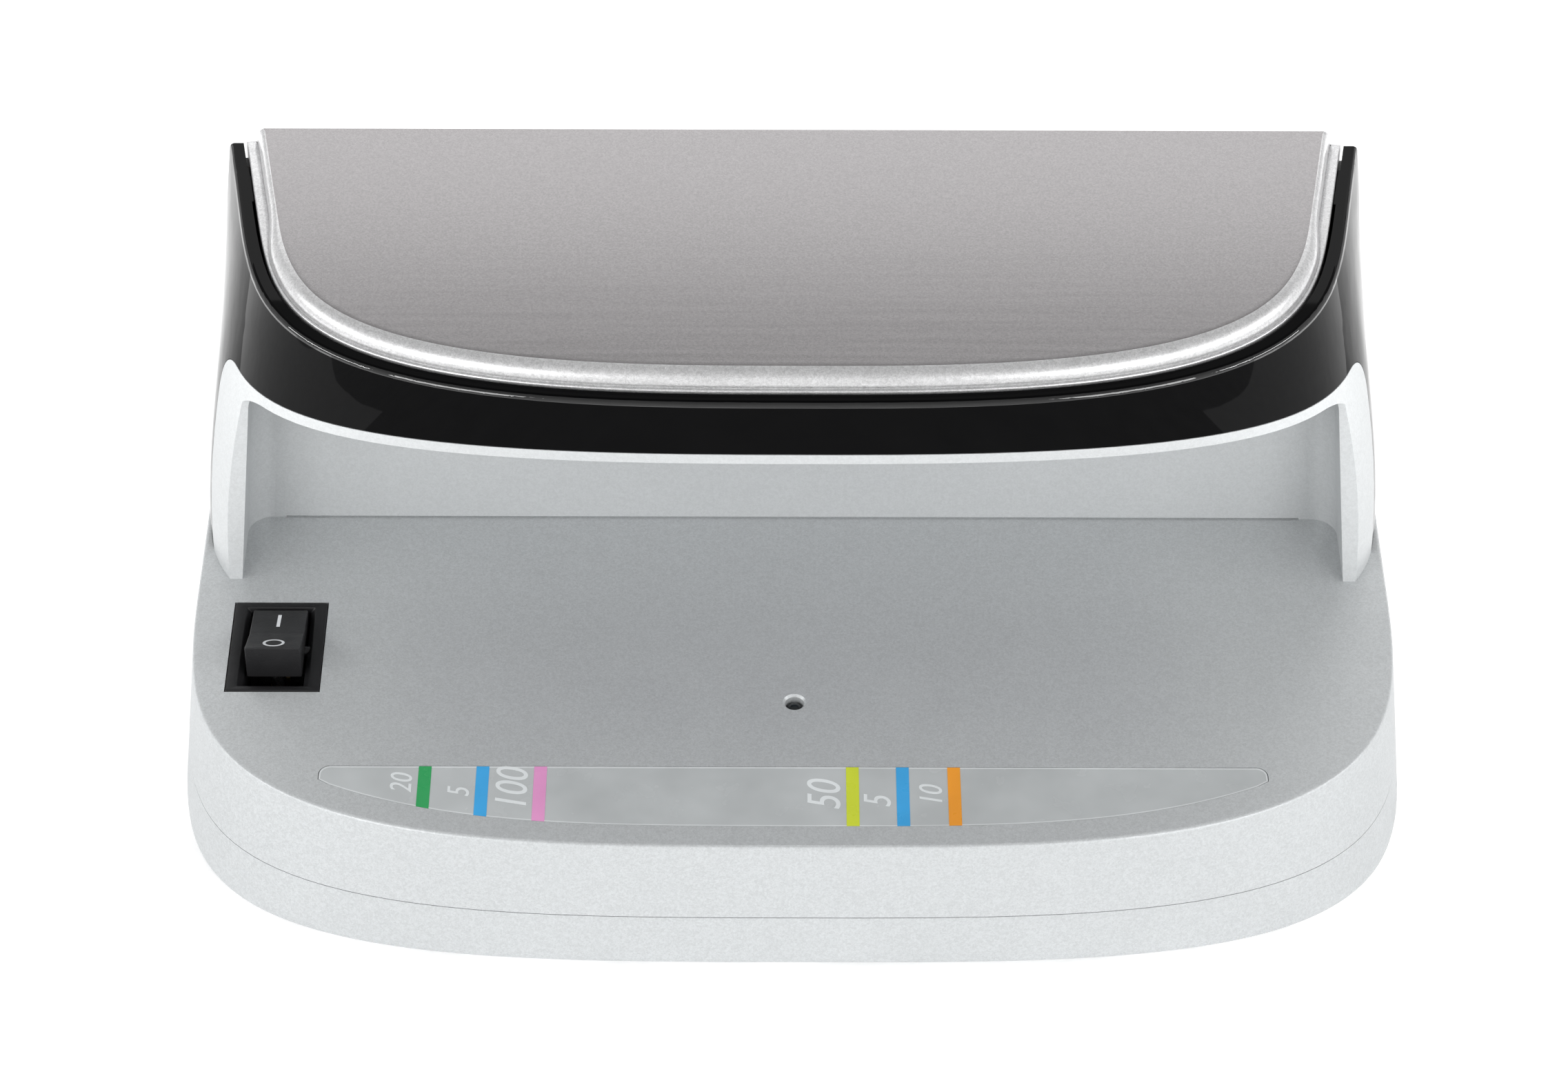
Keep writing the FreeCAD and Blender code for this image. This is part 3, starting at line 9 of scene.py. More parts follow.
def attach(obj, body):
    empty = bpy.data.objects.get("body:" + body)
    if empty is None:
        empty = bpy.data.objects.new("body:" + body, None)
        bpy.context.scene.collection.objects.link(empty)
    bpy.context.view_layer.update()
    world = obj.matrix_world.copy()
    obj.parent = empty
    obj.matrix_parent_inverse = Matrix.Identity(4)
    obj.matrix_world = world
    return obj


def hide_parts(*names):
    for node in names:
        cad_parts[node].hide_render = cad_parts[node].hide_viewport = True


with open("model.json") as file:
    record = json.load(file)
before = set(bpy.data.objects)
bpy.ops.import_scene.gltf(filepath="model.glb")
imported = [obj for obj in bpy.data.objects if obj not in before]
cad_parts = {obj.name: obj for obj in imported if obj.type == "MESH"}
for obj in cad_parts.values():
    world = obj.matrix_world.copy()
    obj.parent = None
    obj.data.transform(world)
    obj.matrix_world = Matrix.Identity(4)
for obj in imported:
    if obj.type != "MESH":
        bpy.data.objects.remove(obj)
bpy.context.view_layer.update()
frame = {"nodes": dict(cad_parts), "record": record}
MM = 0.001


# ---------------------------------------------------------------- materials
class Shader:
    """A Principled material with a short way to add nodes to it."""

    def __init__(self, name, base, metallic=0.0, rough=0.5, **sockets):
        self.material = bpy.data.materials.new(name)
        self.material.use_nodes = True
        self.tree = self.material.node_tree
        self.surface = self.tree.nodes["Principled BSDF"]
        self.put("Base Color", (*base, 1.0))
        self.put("Metallic", metallic)
        self.put("Roughness", rough)
        for socket, number in sockets.items():
            self.put(socket.replace("_", " "), number)
        self.where = self.node("ShaderNodeTexCoord").outputs["Object"]

    def put(self, socket, number):
        self.surface.inputs[socket].default_value = number

    def node(self, kind, **settings):
        made = self.tree.nodes.new(kind)
        for key, number in settings.items():
            if key in made.inputs:
                made.inputs[key].default_value = number
            else:
                setattr(made, key, number)
        return made

    def link(self, source, target):
        self.tree.links.new(source, target)

    def noise(self, scale, detail=3.0, rough=0.55, stretch=(1, 1, 1)):
        """Soft noise, with that many patches to a metre."""
        spread = self.node("ShaderNodeMapping")
        spread.inputs["Scale"].default_value = stretch
        self.link(self.where, spread.inputs["Vector"])
        made = self.node("ShaderNodeTexNoise")
        made.inputs["Scale"].default_value = scale
        made.inputs["Detail"].default_value = detail
        made.inputs["Roughness"].default_value = rough
        self.link(spread.outputs["Vector"], made.inputs["Vector"])
        return made.outputs["Fac"]

    def cells(self, size):
        """A random number for each cell of that size in metres."""
        made = self.node("ShaderNodeTexVoronoi")
        made.inputs["Scale"].default_value = 1.0 / size
        self.link(self.where, made.inputs["Vector"])
        split = self.node("ShaderNodeSeparateColor")
        self.link(made.outputs["Color"], split.inputs["Color"])
        return split.outputs["Red"]

    def spread(self, source, low, high, from_low=0.0, from_high=1.0):
        """Maps a number from one range to another, and holds it within the second."""
        made = self.node("ShaderNodeMapRange")
        self.link(source, made.inputs["Value"])
        ends = {"From Min": from_low, "From Max": from_high, "To Min": low, "To Max": high}
        for key, number in ends.items():
            made.inputs[key].default_value = number
        return made.outputs["Result"]

    def math(self, operation, first, second):
        made = self.node("ShaderNodeMath", operation=operation)
        for index, source in enumerate((first, second)):
            if isinstance(source, (int, float)):
                made.inputs[index].default_value = source
            else:
                self.link(source, made.inputs[index])
        return made.outputs[0]

    def mix(self, factor, first, second):
        """A colour between two, each of which is a colour or a node's output."""
        made = self.node("ShaderNodeMix", data_type="RGBA")
        if isinstance(factor, (int, float)):
            made.inputs[0].default_value = factor
        else:
            self.link(factor, made.inputs[0])
        for index, source in ((6, first), (7, second)):
            if isinstance(source, tuple):
                made.inputs[index].default_value = (*source[:3], 1.0)
            else:
                self.link(source, made.inputs[index])
        return made.outputs[2]

    def blend(self, source, first, second, from_low=0.3, from_high=0.7):
        """A colour that goes from the first to the second as the source goes between two numbers."""
        return self.mix(self.spread(source, 0.0, 1.0, from_low, from_high), first, second)

    def colour(self, source):
        self.link(source, self.surface.inputs["Base Color"])

    def rough(self, source, low, high, from_low=0.3, from_high=0.7):
        spread = self.spread(source, low, high, from_low, from_high)
        self.link(spread, self.surface.inputs["Roughness"])

    def bump(self, source, depth, strength=1.0):
        """Adds a bump of that depth in metres to the ones already there."""
        made = self.node("ShaderNodeBump")
        made.inputs["Strength"].default_value = strength
        made.inputs["Distance"].default_value = depth
        self.link(source, made.inputs["Height"])
        if self.surface.inputs["Normal"].links:
            self.link(self.surface.inputs["Normal"].links[0].from_socket, made.inputs["Normal"])
        self.link(made.outputs["Normal"], self.surface.inputs["Normal"])


def shade(base, share):
    return tuple(min(1.0, part * share) for part in base)


def silver(name, base, metallic, rough, flake, sparkle, **sockets):
    """Silver paint: flakes that differ in brightness and tilt, under faint orange peel."""
    coarse_flake, fine_share, cloud_share, cloud_shade = 2.3, 0.6, 0.12, 0.96
    made = Shader(name, base, metallic, rough, **sockets)
    fine = made.cells(flake)
    coarse = made.cells(flake * coarse_flake)
    light = made.math("ADD", made.math("MULTIPLY", fine, fine_share),
                      made.math("MULTIPLY", coarse, 1.0 - fine_share))
    cloud = made.noise(scale=14.0, detail=2.0)
    tone = made.blend(light, shade(base, 1.0 - sparkle), shade(base, 1.0 + sparkle), 0.15, 0.85)
    clouded = made.spread(cloud, low=0.0, high=cloud_share, from_low=0.3, from_high=0.7)
    made.colour(made.mix(clouded, tone, shade(base, cloud_shade)))
    made.rough(made.noise(scale=90.0, detail=2.0), low=rough - 0.04, high=rough + 0.05)
    made.bump(fine, depth=0.000012)
    made.bump(made.noise(scale=420.0, detail=1.0), depth=0.00002, strength=0.5)
    return made.material


def brushed(name, base, metallic, rough, flake, sparkle):
    """Silver paint over a surface brushed along X."""
    along_x, fine_share = (0.02, 1.0, 1.0), 0.5
    made = Shader(name, base, metallic, rough, Specular_IOR_Level=0.4)
    fine = made.cells(flake)
    lines = made.noise(scale=900.0, detail=3.0, rough=0.6, stretch=along_x)
    light = made.math("ADD", made.math("MULTIPLY", fine, fine_share),
                      made.math("MULTIPLY", lines, 1.0 - fine_share))
    made.colour(made.blend(light, shade(base, 1.0 - sparkle), shade(base, 1.0 + sparkle), 0.25, 0.75))
    made.rough(lines, low=rough - 0.02, high=rough + 0.03)
    made.bump(fine, depth=0.000002, strength=0.5)
    made.bump(lines, depth=0.000002, strength=0.4)
    return made.material


def plastic(name, base, rough, grain=0.0, grain_size=0.0006, **sockets):
    """Moulded plastic with faint mottling and a fine grain."""
    dark, bright, smoother, rougher = 0.88, 1.1, 0.85, 1.15
    made = Shader(name, base, 0.0, rough, **sockets)
    patch = made.noise(scale=60.0, detail=3.0)
    made.colour(made.blend(patch, shade(base, dark), shade(base, bright)))
    made.rough(made.noise(scale=200.0, detail=3.0), max(0.02, rough * smoother), min(1.0, rough * rougher))
    if grain:
        made.bump(made.noise(scale=1.0 / grain_size, detail=2.0), depth=grain)
    return made.material


def lacquer(name, base, rough, body_shine, edge_shine, edge_low, edge_high):
    """Black gloss with fine swirls. A band between two heights in millimetres, on the rounded top edge, gets
    a far higher specular level than the rest: a painted highlight.
    """
    smoother, rougher = 0.7, 1.5
    made = Shader(name, base, 0.0, rough)
    split = made.node("ShaderNodeSeparateXYZ")
    made.link(made.where, split.inputs[0])
    # painted highlight: the band along the top edge is made far more reflective than the same lacquer
    # elsewhere
    above = made.math("GREATER_THAN", split.outputs["Z"], edge_low * MM)
    below = made.math("LESS_THAN", split.outputs["Z"], edge_high * MM)
    edge = made.math("MULTIPLY", above, below)
    made.link(made.spread(edge, body_shine, edge_shine), made.surface.inputs["Specular IOR Level"])
    made.rough(made.noise(scale=160.0, detail=3.0), low=rough * smoother, high=rough * rougher)
    swirls = made.noise(scale=45.0, detail=2.0, rough=0.5, stretch=(0.3, 1.0, 1.0))
    made.bump(swirls, depth=0.000004, strength=0.3)
    return made.material


def metal(name, base, rough, stretch=(1, 1, 1), **sockets):
    """Bare metal with fine scratches along one direction."""
    dark, smoother, rougher = 0.85, 0.7, 1.3
    made = Shader(name, base, 1.0, rough, **sockets)
    lines = made.noise(scale=500.0, detail=3.0, rough=0.6, stretch=stretch)
    made.colour(made.blend(lines, shade(base, dark), base))
    made.rough(lines, low=rough * smoother, high=rough * rougher)
    made.bump(lines, depth=0.00001)
    return made.material


# Each material's kind, base colour and numbers. Sizes and depths of grain and flakes are in metres.
RECIPES = {
    "silver_base": (silver, (0.515, 0.532, 0.54), dict(
        metallic=0.30, rough=0.40, flake=0.00018, sparkle=0.09, Specular_IOR_Level=0.4)),
    "silver_frame": (silver, (0.56, 0.576, 0.583), dict(
        metallic=0.25, rough=0.42, flake=0.00022, sparkle=0.05, Specular_IOR_Level=0.4)),
    # the lid and its bead are one paint: the panel's darker base is painted shade, the bead's lighter base a
    # painted highlight
    "silver_lid": (brushed, (0.29, 0.28, 0.283), dict(
        metallic=0.80, rough=0.22, flake=0.00022, sparkle=0.09)),
    "silver_bead": (silver, (0.64, 0.64, 0.645), dict(
        metallic=0.75, rough=0.33, flake=0.00018, sparkle=0.15)),
    # gloss_black's band of high specular level along the top edge is a painted highlight
    "gloss_black": (lacquer, (0.001, 0.001, 0.0012), dict(
        rough=0.02, body_shine=0.06, edge_shine=0.9, edge_low=75.15, edge_high=75.9)),
    "black_plastic": (plastic, (0.010, 0.010, 0.011), dict(
        rough=0.45, grain=0.00002, grain_size=0.0004, Specular_IOR_Level=0.3)),
    "rocker_plastic": (plastic, (0.014, 0.014, 0.015), dict(
        rough=0.5, grain=0.00003, grain_size=0.0003, Specular_IOR_Level=0.35)),
    "dark_rear": (plastic, (0.02, 0.021, 0.023), dict(rough=0.5, grain=0.00003, grain_size=0.0005)),
    "rubber": (plastic, (0.018, 0.018, 0.018), dict(rough=0.75, grain=0.00005, grain_size=0.0004)),
    "film": (plastic, (0.46, 0.48, 0.485), dict(rough=0.25, Specular_IOR_Level=0.35)),
    # the lighter film edge paint is a painted highlight along the label's cut edge
    "film_rim": (plastic, (0.62, 0.64, 0.65), dict(rough=0.3)),
    "steel": (metal, (0.56, 0.57, 0.58), dict(rough=0.28)),
    "aluminium": (metal, (0.78, 0.79, 0.80), dict(rough=0.22, stretch=(0.1, 1, 1))),
    "brass": (metal, (0.75, 0.55, 0.26), dict(rough=0.3)),
    "copper": (metal, (0.72, 0.36, 0.2), dict(rough=0.35)),
    "can": (metal, (0.2, 0.22, 0.28), dict(rough=0.3)),
    "tube_glass": (plastic, (0.035, 0.02, 0.09), dict(rough=0.06, Coat_Weight=0.6)),
    "white_plastic": (plastic, (0.75, 0.75, 0.73), dict(rough=0.4, grain=0.00001)),
    "board": (plastic, (0.02, 0.11, 0.045), dict(rough=0.35, grain=0.00001, grain_size=0.001)),
    "led": (plastic, (0.012, 0.016, 0.018), dict(rough=0.15)),
    "wire": (plastic, (0.35, 0.02, 0.02), dict(rough=0.45)),
    "white_print": (plastic, (0.8, 0.82, 0.84), dict(rough=0.4)),
    "print_white": (plastic, (0.70, 0.73, 0.74), dict(rough=0.35)),
    "print_green": (plastic, (0.03, 0.33, 0.10), dict(rough=0.3)),
    "print_blue": (plastic, (0.05, 0.36, 0.72), dict(rough=0.3)),
    "print_pink": (plastic, (0.72, 0.30, 0.56), dict(rough=0.3)),
    "print_lime": (plastic, (0.58, 0.66, 0.04), dict(rough=0.3)),
    "print_orange": (plastic, (0.85, 0.33, 0.03), dict(rough=0.3)),
}
MATERIALS = {name: kind(name, base, **numbers) for name, (kind, base, numbers) in RECIPES.items()}
SLOTS = {part["node"]: part["material_slot"] for part in frame["record"]["subparts"]}
for name, node in frame["nodes"].items():
    node.data.materials.clear()
    node.data.materials.append(MATERIALS[SLOTS[name]])


# ---------------------------------------------------------------- meshes
class Mesh:
    """A mesh in millimetres, built from rings of points."""

    MERGE, SLIVER = 1e-7, 1e-8

    def __init__(self):
        self.points, self.faces = [], []

    def ring(self, points):
        first = len(self.points)
        self.points += points
        return list(range(first, first + len(points)))

    def bridge(self, low, high):
        """Joins two rings of as many points with a band of faces."""
        count = len(low)
        for i in range(count):
            j = (i + 1) % count
            self.faces.append((low[i], low[j], high[j], high[i]))

    def stack(self, rings):
        made = [self.ring(points) for points in rings]
        for low, high in zip(made, made[1:]):
            self.bridge(low, high)
        return made

    def tube(self, made):
        """Joins rings one to the next, and the last to the first."""
        for low, high in zip(made, made[1:] + made[:1]):
            self.bridge(low, high)

    def cap(self, ring, flip=False):
        """Fills a ring with one face."""
        self.faces.append(tuple(reversed(ring)) if flip else tuple(ring))

    def rungs(self, ring):
        """Fills a ring by strips between its two mirrored halves, which keeps its shading even."""
        count = len(ring)
        for i in range(count // 2):
            a, b, c, d = ring[i], ring[i + 1], ring[count - 2 - i], ring[count - 1 - i]
            self.faces.append((a, b, c, d) if b != c else (a, b, d))

    def make(self, name, material, body="housing", crease=35.0, bevel=0.0):
        """Makes the piece. Edges over crease degrees stay sharp, or are rounded by bevel millimetres."""
        mesh = bpy.data.meshes.new(name)
        mesh.from_pydata([Vector(p) * MM for p in self.points], [], self.faces)
        mesh.validate()
        work = bmesh.new()
        work.from_mesh(mesh)
        bmesh.ops.remove_doubles(work, verts=work.verts, dist=self.MERGE)
        bmesh.ops.dissolve_degenerate(work, edges=work.edges, dist=self.SLIVER)
        bmesh.ops.recalc_face_normals(work, faces=work.faces)
        work.to_mesh(mesh)
        work.free()
        for face in mesh.polygons:
            face.use_smooth = True
        if not bevel:
            mesh.set_sharp_from_angle(angle=math.radians(crease))
        made = bpy.data.objects.new(name, mesh)
        bpy.context.scene.collection.objects.link(made)
        mesh.materials.append(material)
        if bevel:
            rounding = made.modifiers.new("rounding", "BEVEL")
            rounding.width = bevel * MM
            rounding.segments = 3
            rounding.limit_method = "ANGLE"
            rounding.angle_limit = math.radians(crease)
            rounding.harden_normals = False
            made.modifiers.new("even", "WEIGHTED_NORMAL").keep_sharp = True
        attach(made, body)
        return made


# ---------------------------------------------------------------- lid
# The hood's D-shaped outlines at three heights: half width at the rear, taper of the sides, Y of the front
# and of the shoulders, and the exponents of the sides and of the front.
HOOD_TOP = 76.0
HOOD_LEVELS = (
    (26.0, (96.2, 0.0, -15.0, 27.6, 2.9, 3.0)),
    (54.0, (94.7, 0.05, -11.9, 34.6, 2.9, 3.4)),
    (HOOD_TOP, (92.4, 0.169, -9.4, 43.4, 2.9, 4.0)),
)
REAR = 57.1
WALL = 2.2


def hood_outline(height):
    """The hood's outline at a height, from a parabola through its three known outlines."""
    heights = [level for level, _ in HOOD_LEVELS]
    weights = [math.prod((height - o) / (h - o) for o in heights if o != h) for h in heights]
    columns = zip(*(row for _, row in HOOD_LEVELS))
    return [sum(w * number for w, number in zip(weights, column)) for column in columns]


def outline_half(shape, inset, rear):
    """Points of the right half, from the middle of the front to the rear face, moved inward by inset."""
    front_steps, side_steps, near = 72, 8, 1e-3
    width, taper, front, shoulder, side_power, front_power = shape

    def at(step):
        """The front runs from step 0 to 1 and the side from 1 to 2."""
        if step <= 1:
            angle = step * math.pi / 2
            y = shoulder - (shoulder - front) * max(0.0, math.cos(angle)) ** (2 / front_power)
            bulge = math.sin(angle) ** (2 / side_power)
        else:
            y, bulge = shoulder + (REAR - shoulder) * (step - 1), 1.0
        return Vector(((width - taper * (REAR - y)) * bulge, y))

    steps = [i / front_steps for i in range(front_steps + 1)]
    steps += [1 + i / side_steps for i in range(1, side_steps + 1)]
    half = []
    for step in steps:
        place = at(step)
        along = at(min(step + near, 2.0)) - at(max(step - near, 0.0))
        if step == 0:
            along = Vector((1.0, 0.0))
        along.normalize()
        depth = inset(place.y) if callable(inset) else inset
        half.append(place + Vector((-along.y, along.x)) * depth)
    half[-1].y = rear
    return half


def outline_ring(shape, height, inset, rear):
    """The whole outline at a height, as points from the left end of the rear face to its right end."""
    right = [(p.x, p.y, height) for p in outline_half(shape, inset, rear)]
    return [(-x, y, z) for x, y, z in reversed(right[1:])] + right


def smooth(low, high, number):
    share = min(1.0, max(0.0, (number - low) / (high - low)))
    return share * share * (3 - 2 * share)


def make_lid():
    """Lid with a small lip, a rounded bead that narrows to a step behind, and a flat panel."""
    underside, skirt_low, lip, bead_foot, panel = 73.2, 73.8, 76.3, 76.2, 79.0
    gap = WALL + 0.5
    bead_front, bead_rear, bead_end, panel_inset = 0.55, 1.8, 3.25, 3.75
    bead_steps, narrows_from, narrows_to, panel_edge = 12, 24.0, 36.0, 0.03
    rear = REAR - 0.02

    def bead_start(y):
        return bead_front + (bead_rear - bead_front) * smooth(narrows_from, narrows_to, y)

    def bead_inset(share):
        """How far in the bead is at each Y, from its end (share 0) to its start (share 1)."""
        return lambda y: gap + bead_end - (bead_end - bead_start(y)) * share

    # each ring's height and its distance in from the hood's outline
    profile = [
        (underside, gap),
        (skirt_low, gap),
        (lip - 0.35, gap),
        (lip - 0.1, gap + 0.08),
        (lip, gap + 0.25),
        (lip - 0.02, lambda y: gap + bead_start(y) - 0.2),
        (lip - 0.16, lambda y: gap + bead_start(y) - 0.04),
    ]
    for i in range(bead_steps + 1):
        angle = i / bead_steps * math.pi / 2
        height = bead_foot + (panel - bead_foot) * math.sin(angle)
        profile.append((height, bead_inset(math.cos(angle))))
    profile.append((panel, gap + panel_inset))
    top = hood_outline(HOOD_TOP)
    mesh = Mesh()
    made = mesh.stack([outline_ring(top, height, inset, rear) for height, inset in profile])
    mesh.cap(made[0], flip=True)
    mesh.rungs(made[-1])
    lid = mesh.make("lid_panel", MATERIALS["silver_lid"], crease=50)
    lid.data.materials.append(MATERIALS["silver_bead"])
    # the bead and sides take the lighter copy of the paint, a painted highlight; the panel keeps the darker
    # copy, painted shade
    for face in lid.data.polygons:
        middle = face.center / MM
        if middle.z < panel - panel_edge:
            face.material_index = 1
    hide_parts("top_lid")
    return lid


# ---------------------------------------------------------------- switch
SWITCH = Vector((-82.7, -10.4))
# The rocker: its pivot's height, its angle at rest, how far the two ends of its top are above the pivot, how
# far the middle of its top is below them, half its length, and its width.
PIVOT = 25.0
TILT = math.radians(19.0)
RISE = 3.9
DISH = 0.8
HALF = 7.7
ROCKER_WIDE = 8.8
MARK_LIFT, MARK_THICK = 0.02, 0.04


def rounded_box(wide, long, radius, height, steps=5):
    """A ring of points of a rectangle with rounded corners, at one height."""
    ring = []
    for turn, (sx, sy) in enumerate(((1, 1), (-1, 1), (-1, -1), (1, -1))):
        for i in range(steps + 1):
            angle = (turn + i / steps) * math.pi / 2
            ring.append((sx * (wide / 2 - radius) + radius * math.cos(angle),
                         sy * (long / 2 - radius) + radius * math.sin(angle), height))
    return ring


def circle_steps(count):
    return [2 * math.pi * i / count for i in range(count)]


def make_bezel():
    """Switch case and its thin bezel: one closed shell with the well inside."""
    # width, length, corner radius and height: up the case, over the bezel and down the well
    levels = (
        (13.0, 19.0, 0.4, 15.5),
        (13.0, 19.0, 0.4, 24.6),
        (15.0, 21.0, 0.3, 24.6),
        (15.0, 21.0, 0.3, 25.8),
        (14.9, 20.9, 0.3, 25.98),
        (14.7, 20.7, 0.3, 26.08),
        (14.4, 20.4, 0.3, 26.1),
        (11.5, 18.8, 0.3, 26.1),
        (11.2, 18.6, 0.3, 26.04),
        (11.0, 18.5, 0.3, 25.9),
        (9.8, 18.1, 0.25, 25.35),
        (9.6, 18.0, 0.2, 25.1),
        (9.6, 18.0, 0.2, 17.3),
    )
    mesh = Mesh()
    made = mesh.stack([[(x + SWITCH.x, y + SWITCH.y, z) for x, y, z in rounded_box(*level)]
                       for level in levels])
    mesh.cap(made[0], flip=True)
    mesh.cap(made[-1])
    bezel = mesh.make("switch_bezel", MATERIALS["black_plastic"], crease=40)
    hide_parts("switch_housing")


def on_rocker(x, along, height):
    """A point of the rocker, given across it, along it and above its pivot, at rest."""
    c, s = math.cos(TILT), math.sin(TILT)
    return (SWITCH.x + x, SWITCH.y + along * c + height * s, PIVOT + height * c - along * s)


def on_top(x, along, drop=0.0):
    """A point of a mark on the rocker's top, lowered by drop."""
    x, y, z = on_rocker(x, along, RISE - DISH + abs(along) * DISH / HALF + MARK_LIFT)
    return (x, y, z - drop)


def make_pins():
    """The rocker's two pivot pins, with softened ends."""
    radius, soft, start, end = 0.8, 0.15, 4.3, 5.4
    pins = Mesh()
    for side in (-1, 1):
        rings = [[(SWITCH.x + side * x, SWITCH.y + r * math.cos(t), PIVOT + r * math.sin(t))
                  for t in circle_steps(20)]
                 for x, r in ((start, radius), (end - soft, radius), (end, radius - soft))]
        made = pins.stack(rings)
        pins.cap(made[0], flip=True)
        pins.cap(made[-1])
    pins.make("switch_rocker_pins", MATERIALS["rocker_plastic"], "rocker")


def make_on_mark():
    """The bar on the rocker's rear end."""
    middle, half_long, half_wide = 4.1, 1.9, 0.28
    corners = ((-half_wide, middle - half_long), (half_wide, middle - half_long),
               (half_wide, middle + half_long), (-half_wide, middle + half_long))
    bar = Mesh()
    low, high = (bar.ring([on_top(*corner, drop) for corner in corners]) for drop in (MARK_THICK, 0.0))
    bar.bridge(low, high)
    bar.cap(high)
    bar.cap(low, flip=True)
    bar.make("mark_on", MATERIALS["white_print"], "rocker")


def make_off_mark():
    """The ring on the rocker's front end."""
    middle, outer, inner = -4.9, 1.75, 1.3
    ring = Mesh()
    made = []
    for radius, drop in ((outer, MARK_THICK), (outer, 0.0), (inner, 0.0), (inner, MARK_THICK)):
        made.append(ring.ring([on_top(radius * math.cos(t), middle + radius * math.sin(t), drop)
                               for t in circle_steps(48)]))
    ring.tube(made)
    ring.make("mark_off", MATERIALS["white_print"], "rocker")


def make_rocker():
    """The rocker with its softened edges, its pins and its marks."""
    flank, flank_low, foot, foot_low = HALF - 2.1, -2.0, 2.5, -3.1
    profile = ((-HALF, RISE), (0.0, RISE - DISH), (HALF, RISE), (flank, flank_low), (foot, foot_low),
               (-foot, foot_low), (-flank, flank_low))
    mesh = Mesh()
    left, right = (mesh.ring([on_rocker(side * ROCKER_WIDE / 2, *p) for p in profile]) for side in (-1, 1))
    mesh.bridge(left, right)
    mesh.cap(left, flip=True)
    mesh.cap(right)
    rocker = mesh.make("switch_rocker_shell", MATERIALS["rocker_plastic"], "rocker",
                       crease=9, bevel=0.22)
    make_pins()
    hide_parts("switch_rocker")
    make_on_mark()
    make_off_mark()


# ---------------------------------------------------------------- label
# The film's straight rear edge, its front edge in the middle, and its top. The front edge bows to the rear
# towards the film's ends.
LABEL_REAR, LABEL_FRONT, LABEL_TOP = -37.7, -50.8, 25.9
LABEL_HALF, LABEL_BOW, LABEL_POWER = 74.0, 9.8, 3.65


def label_front(x):
    return LABEL_FRONT + LABEL_BOW * (abs(x) / LABEL_HALF) ** LABEL_POWER


def make_bar(name, centre, paint):
    """A coloured bar across the label, from its rear edge to its bowed front edge."""
    half, thick, inside = 1.0, 0.03, 0.05
    columns = [centre + half * share for share in (-1.0, -0.5, 0.0, 0.5, 1.0)]
    mesh = Mesh()
    low, high = (mesh.ring([(x, label_front(x) + inside, z) for x in columns] +
                           [(x, LABEL_REAR - inside, z) for x in reversed(columns)])
                 for z in (LABEL_TOP, LABEL_TOP + thick))
    mesh.bridge(low, high)
    mesh.cap(high)
    mesh.cap(low, flip=True)
    mesh.make(name, MATERIALS[paint])


def make_number(name, number, tall, baseline, middle):
    """White numerals of a given height, read from the right-hand side, with their foot at X = baseline."""
    narrow, half_thick = 0.88, 0.015
    letters = bpy.data.curves.new(name, "FONT")
    letters.body = number
    letters.shear = 0.25
    letters.extrude = 0.004
    letters.align_x = "CENTER"
    flat = bpy.data.objects.new("letters", letters)
    bpy.context.scene.collection.objects.link(flat)
    bpy.context.view_layer.update()
    shape = bpy.data.meshes.new_from_object(flat.evaluated_get(bpy.context.evaluated_depsgraph_get()))
    bpy.data.objects.remove(flat)
    foot, crown = (pick(v.co.y for v in shape.vertices) for pick in (min, max))
    left, right = (pick(v.co.x for v in shape.vertices) for pick in (min, max))
    size = tall * MM / (crown - foot)
    thick = half_thick * MM / (letters.extrude * size)
    place = Matrix.Translation(Vector((baseline, middle, LABEL_TOP + half_thick)) * MM)
    turn = Matrix.Rotation(math.pi / 2, 4, "Z")
    scale = Matrix.Diagonal((size * narrow, size, size * thick, 1))
    centre = Matrix.Translation((-(left + right) / 2, -foot, 0))
    shape.transform(place @ turn @ scale @ centre)
    shape.materials.clear()
    shape.materials.append(MATERIALS["print_white"])
    made = bpy.data.objects.new(name, shape)
    bpy.context.scene.collection.objects.link(made)
    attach(made, "housing")


def film_outline():
    """The outline of the film's top, point by point, and which side of it is inward: 1 left, -1 right."""
    film = frame["nodes"]["label_film"].data
    high = max(v.co.z for v in film.vertices)
    level = 1e-6
    tops = [face for face in film.polygons
            if all(abs(film.vertices[i].co.z - high) < level for i in face.vertices)]
    used = {}
    for face in tops:
        for key in face.edge_keys:
            used[key] = used.get(key, 0) + 1
    nexts = {}
    for a, b in (key for key, count in used.items() if count == 1):
        nexts.setdefault(a, []).append(b)
        nexts.setdefault(b, []).append(a)
    loop = [next(iter(nexts))]
    while len(loop) < len(nexts):
        ahead = [i for i in nexts[loop[-1]] if i not in loop[-2:]]
        loop.append(ahead[0])
    points = [film.vertices[i].co.xy / MM for i in loop]
    area = sum(a.x * b.y - b.x * a.y for a, b in zip(points, points[1:] + points[:1]))
    return points, (1.0 if area > 0 else -1.0)


def make_film_edge_highlight():
    """A thin light line just inside the outline of the film's top: a painted highlight where the label's cut
    edge catches the light.
    """
    outer, inner, tall = 0.05, 0.30, 0.02
    points, turn = film_outline()
    mesh = Mesh()
    rings = []
    for inset, lift in ((outer, 0.0), (outer, tall), (inner, tall), (inner, 0.0)):
        ring = []
        for before, here, after in zip(points[-1:] + points[:-1], points, points[1:] + points[:1]):
            along = ((here - before).normalized() + (after - here).normalized()).normalized()
            inward = Vector((-along.y, along.x)) * turn
            ring.append((here.x + inward.x * inset, here.y + inward.y * inset, LABEL_TOP + lift))
        rings.append(mesh.ring(ring))
    mesh.tube(rings)
    mesh.make("label_edge_highlight", MATERIALS["film_rim"])


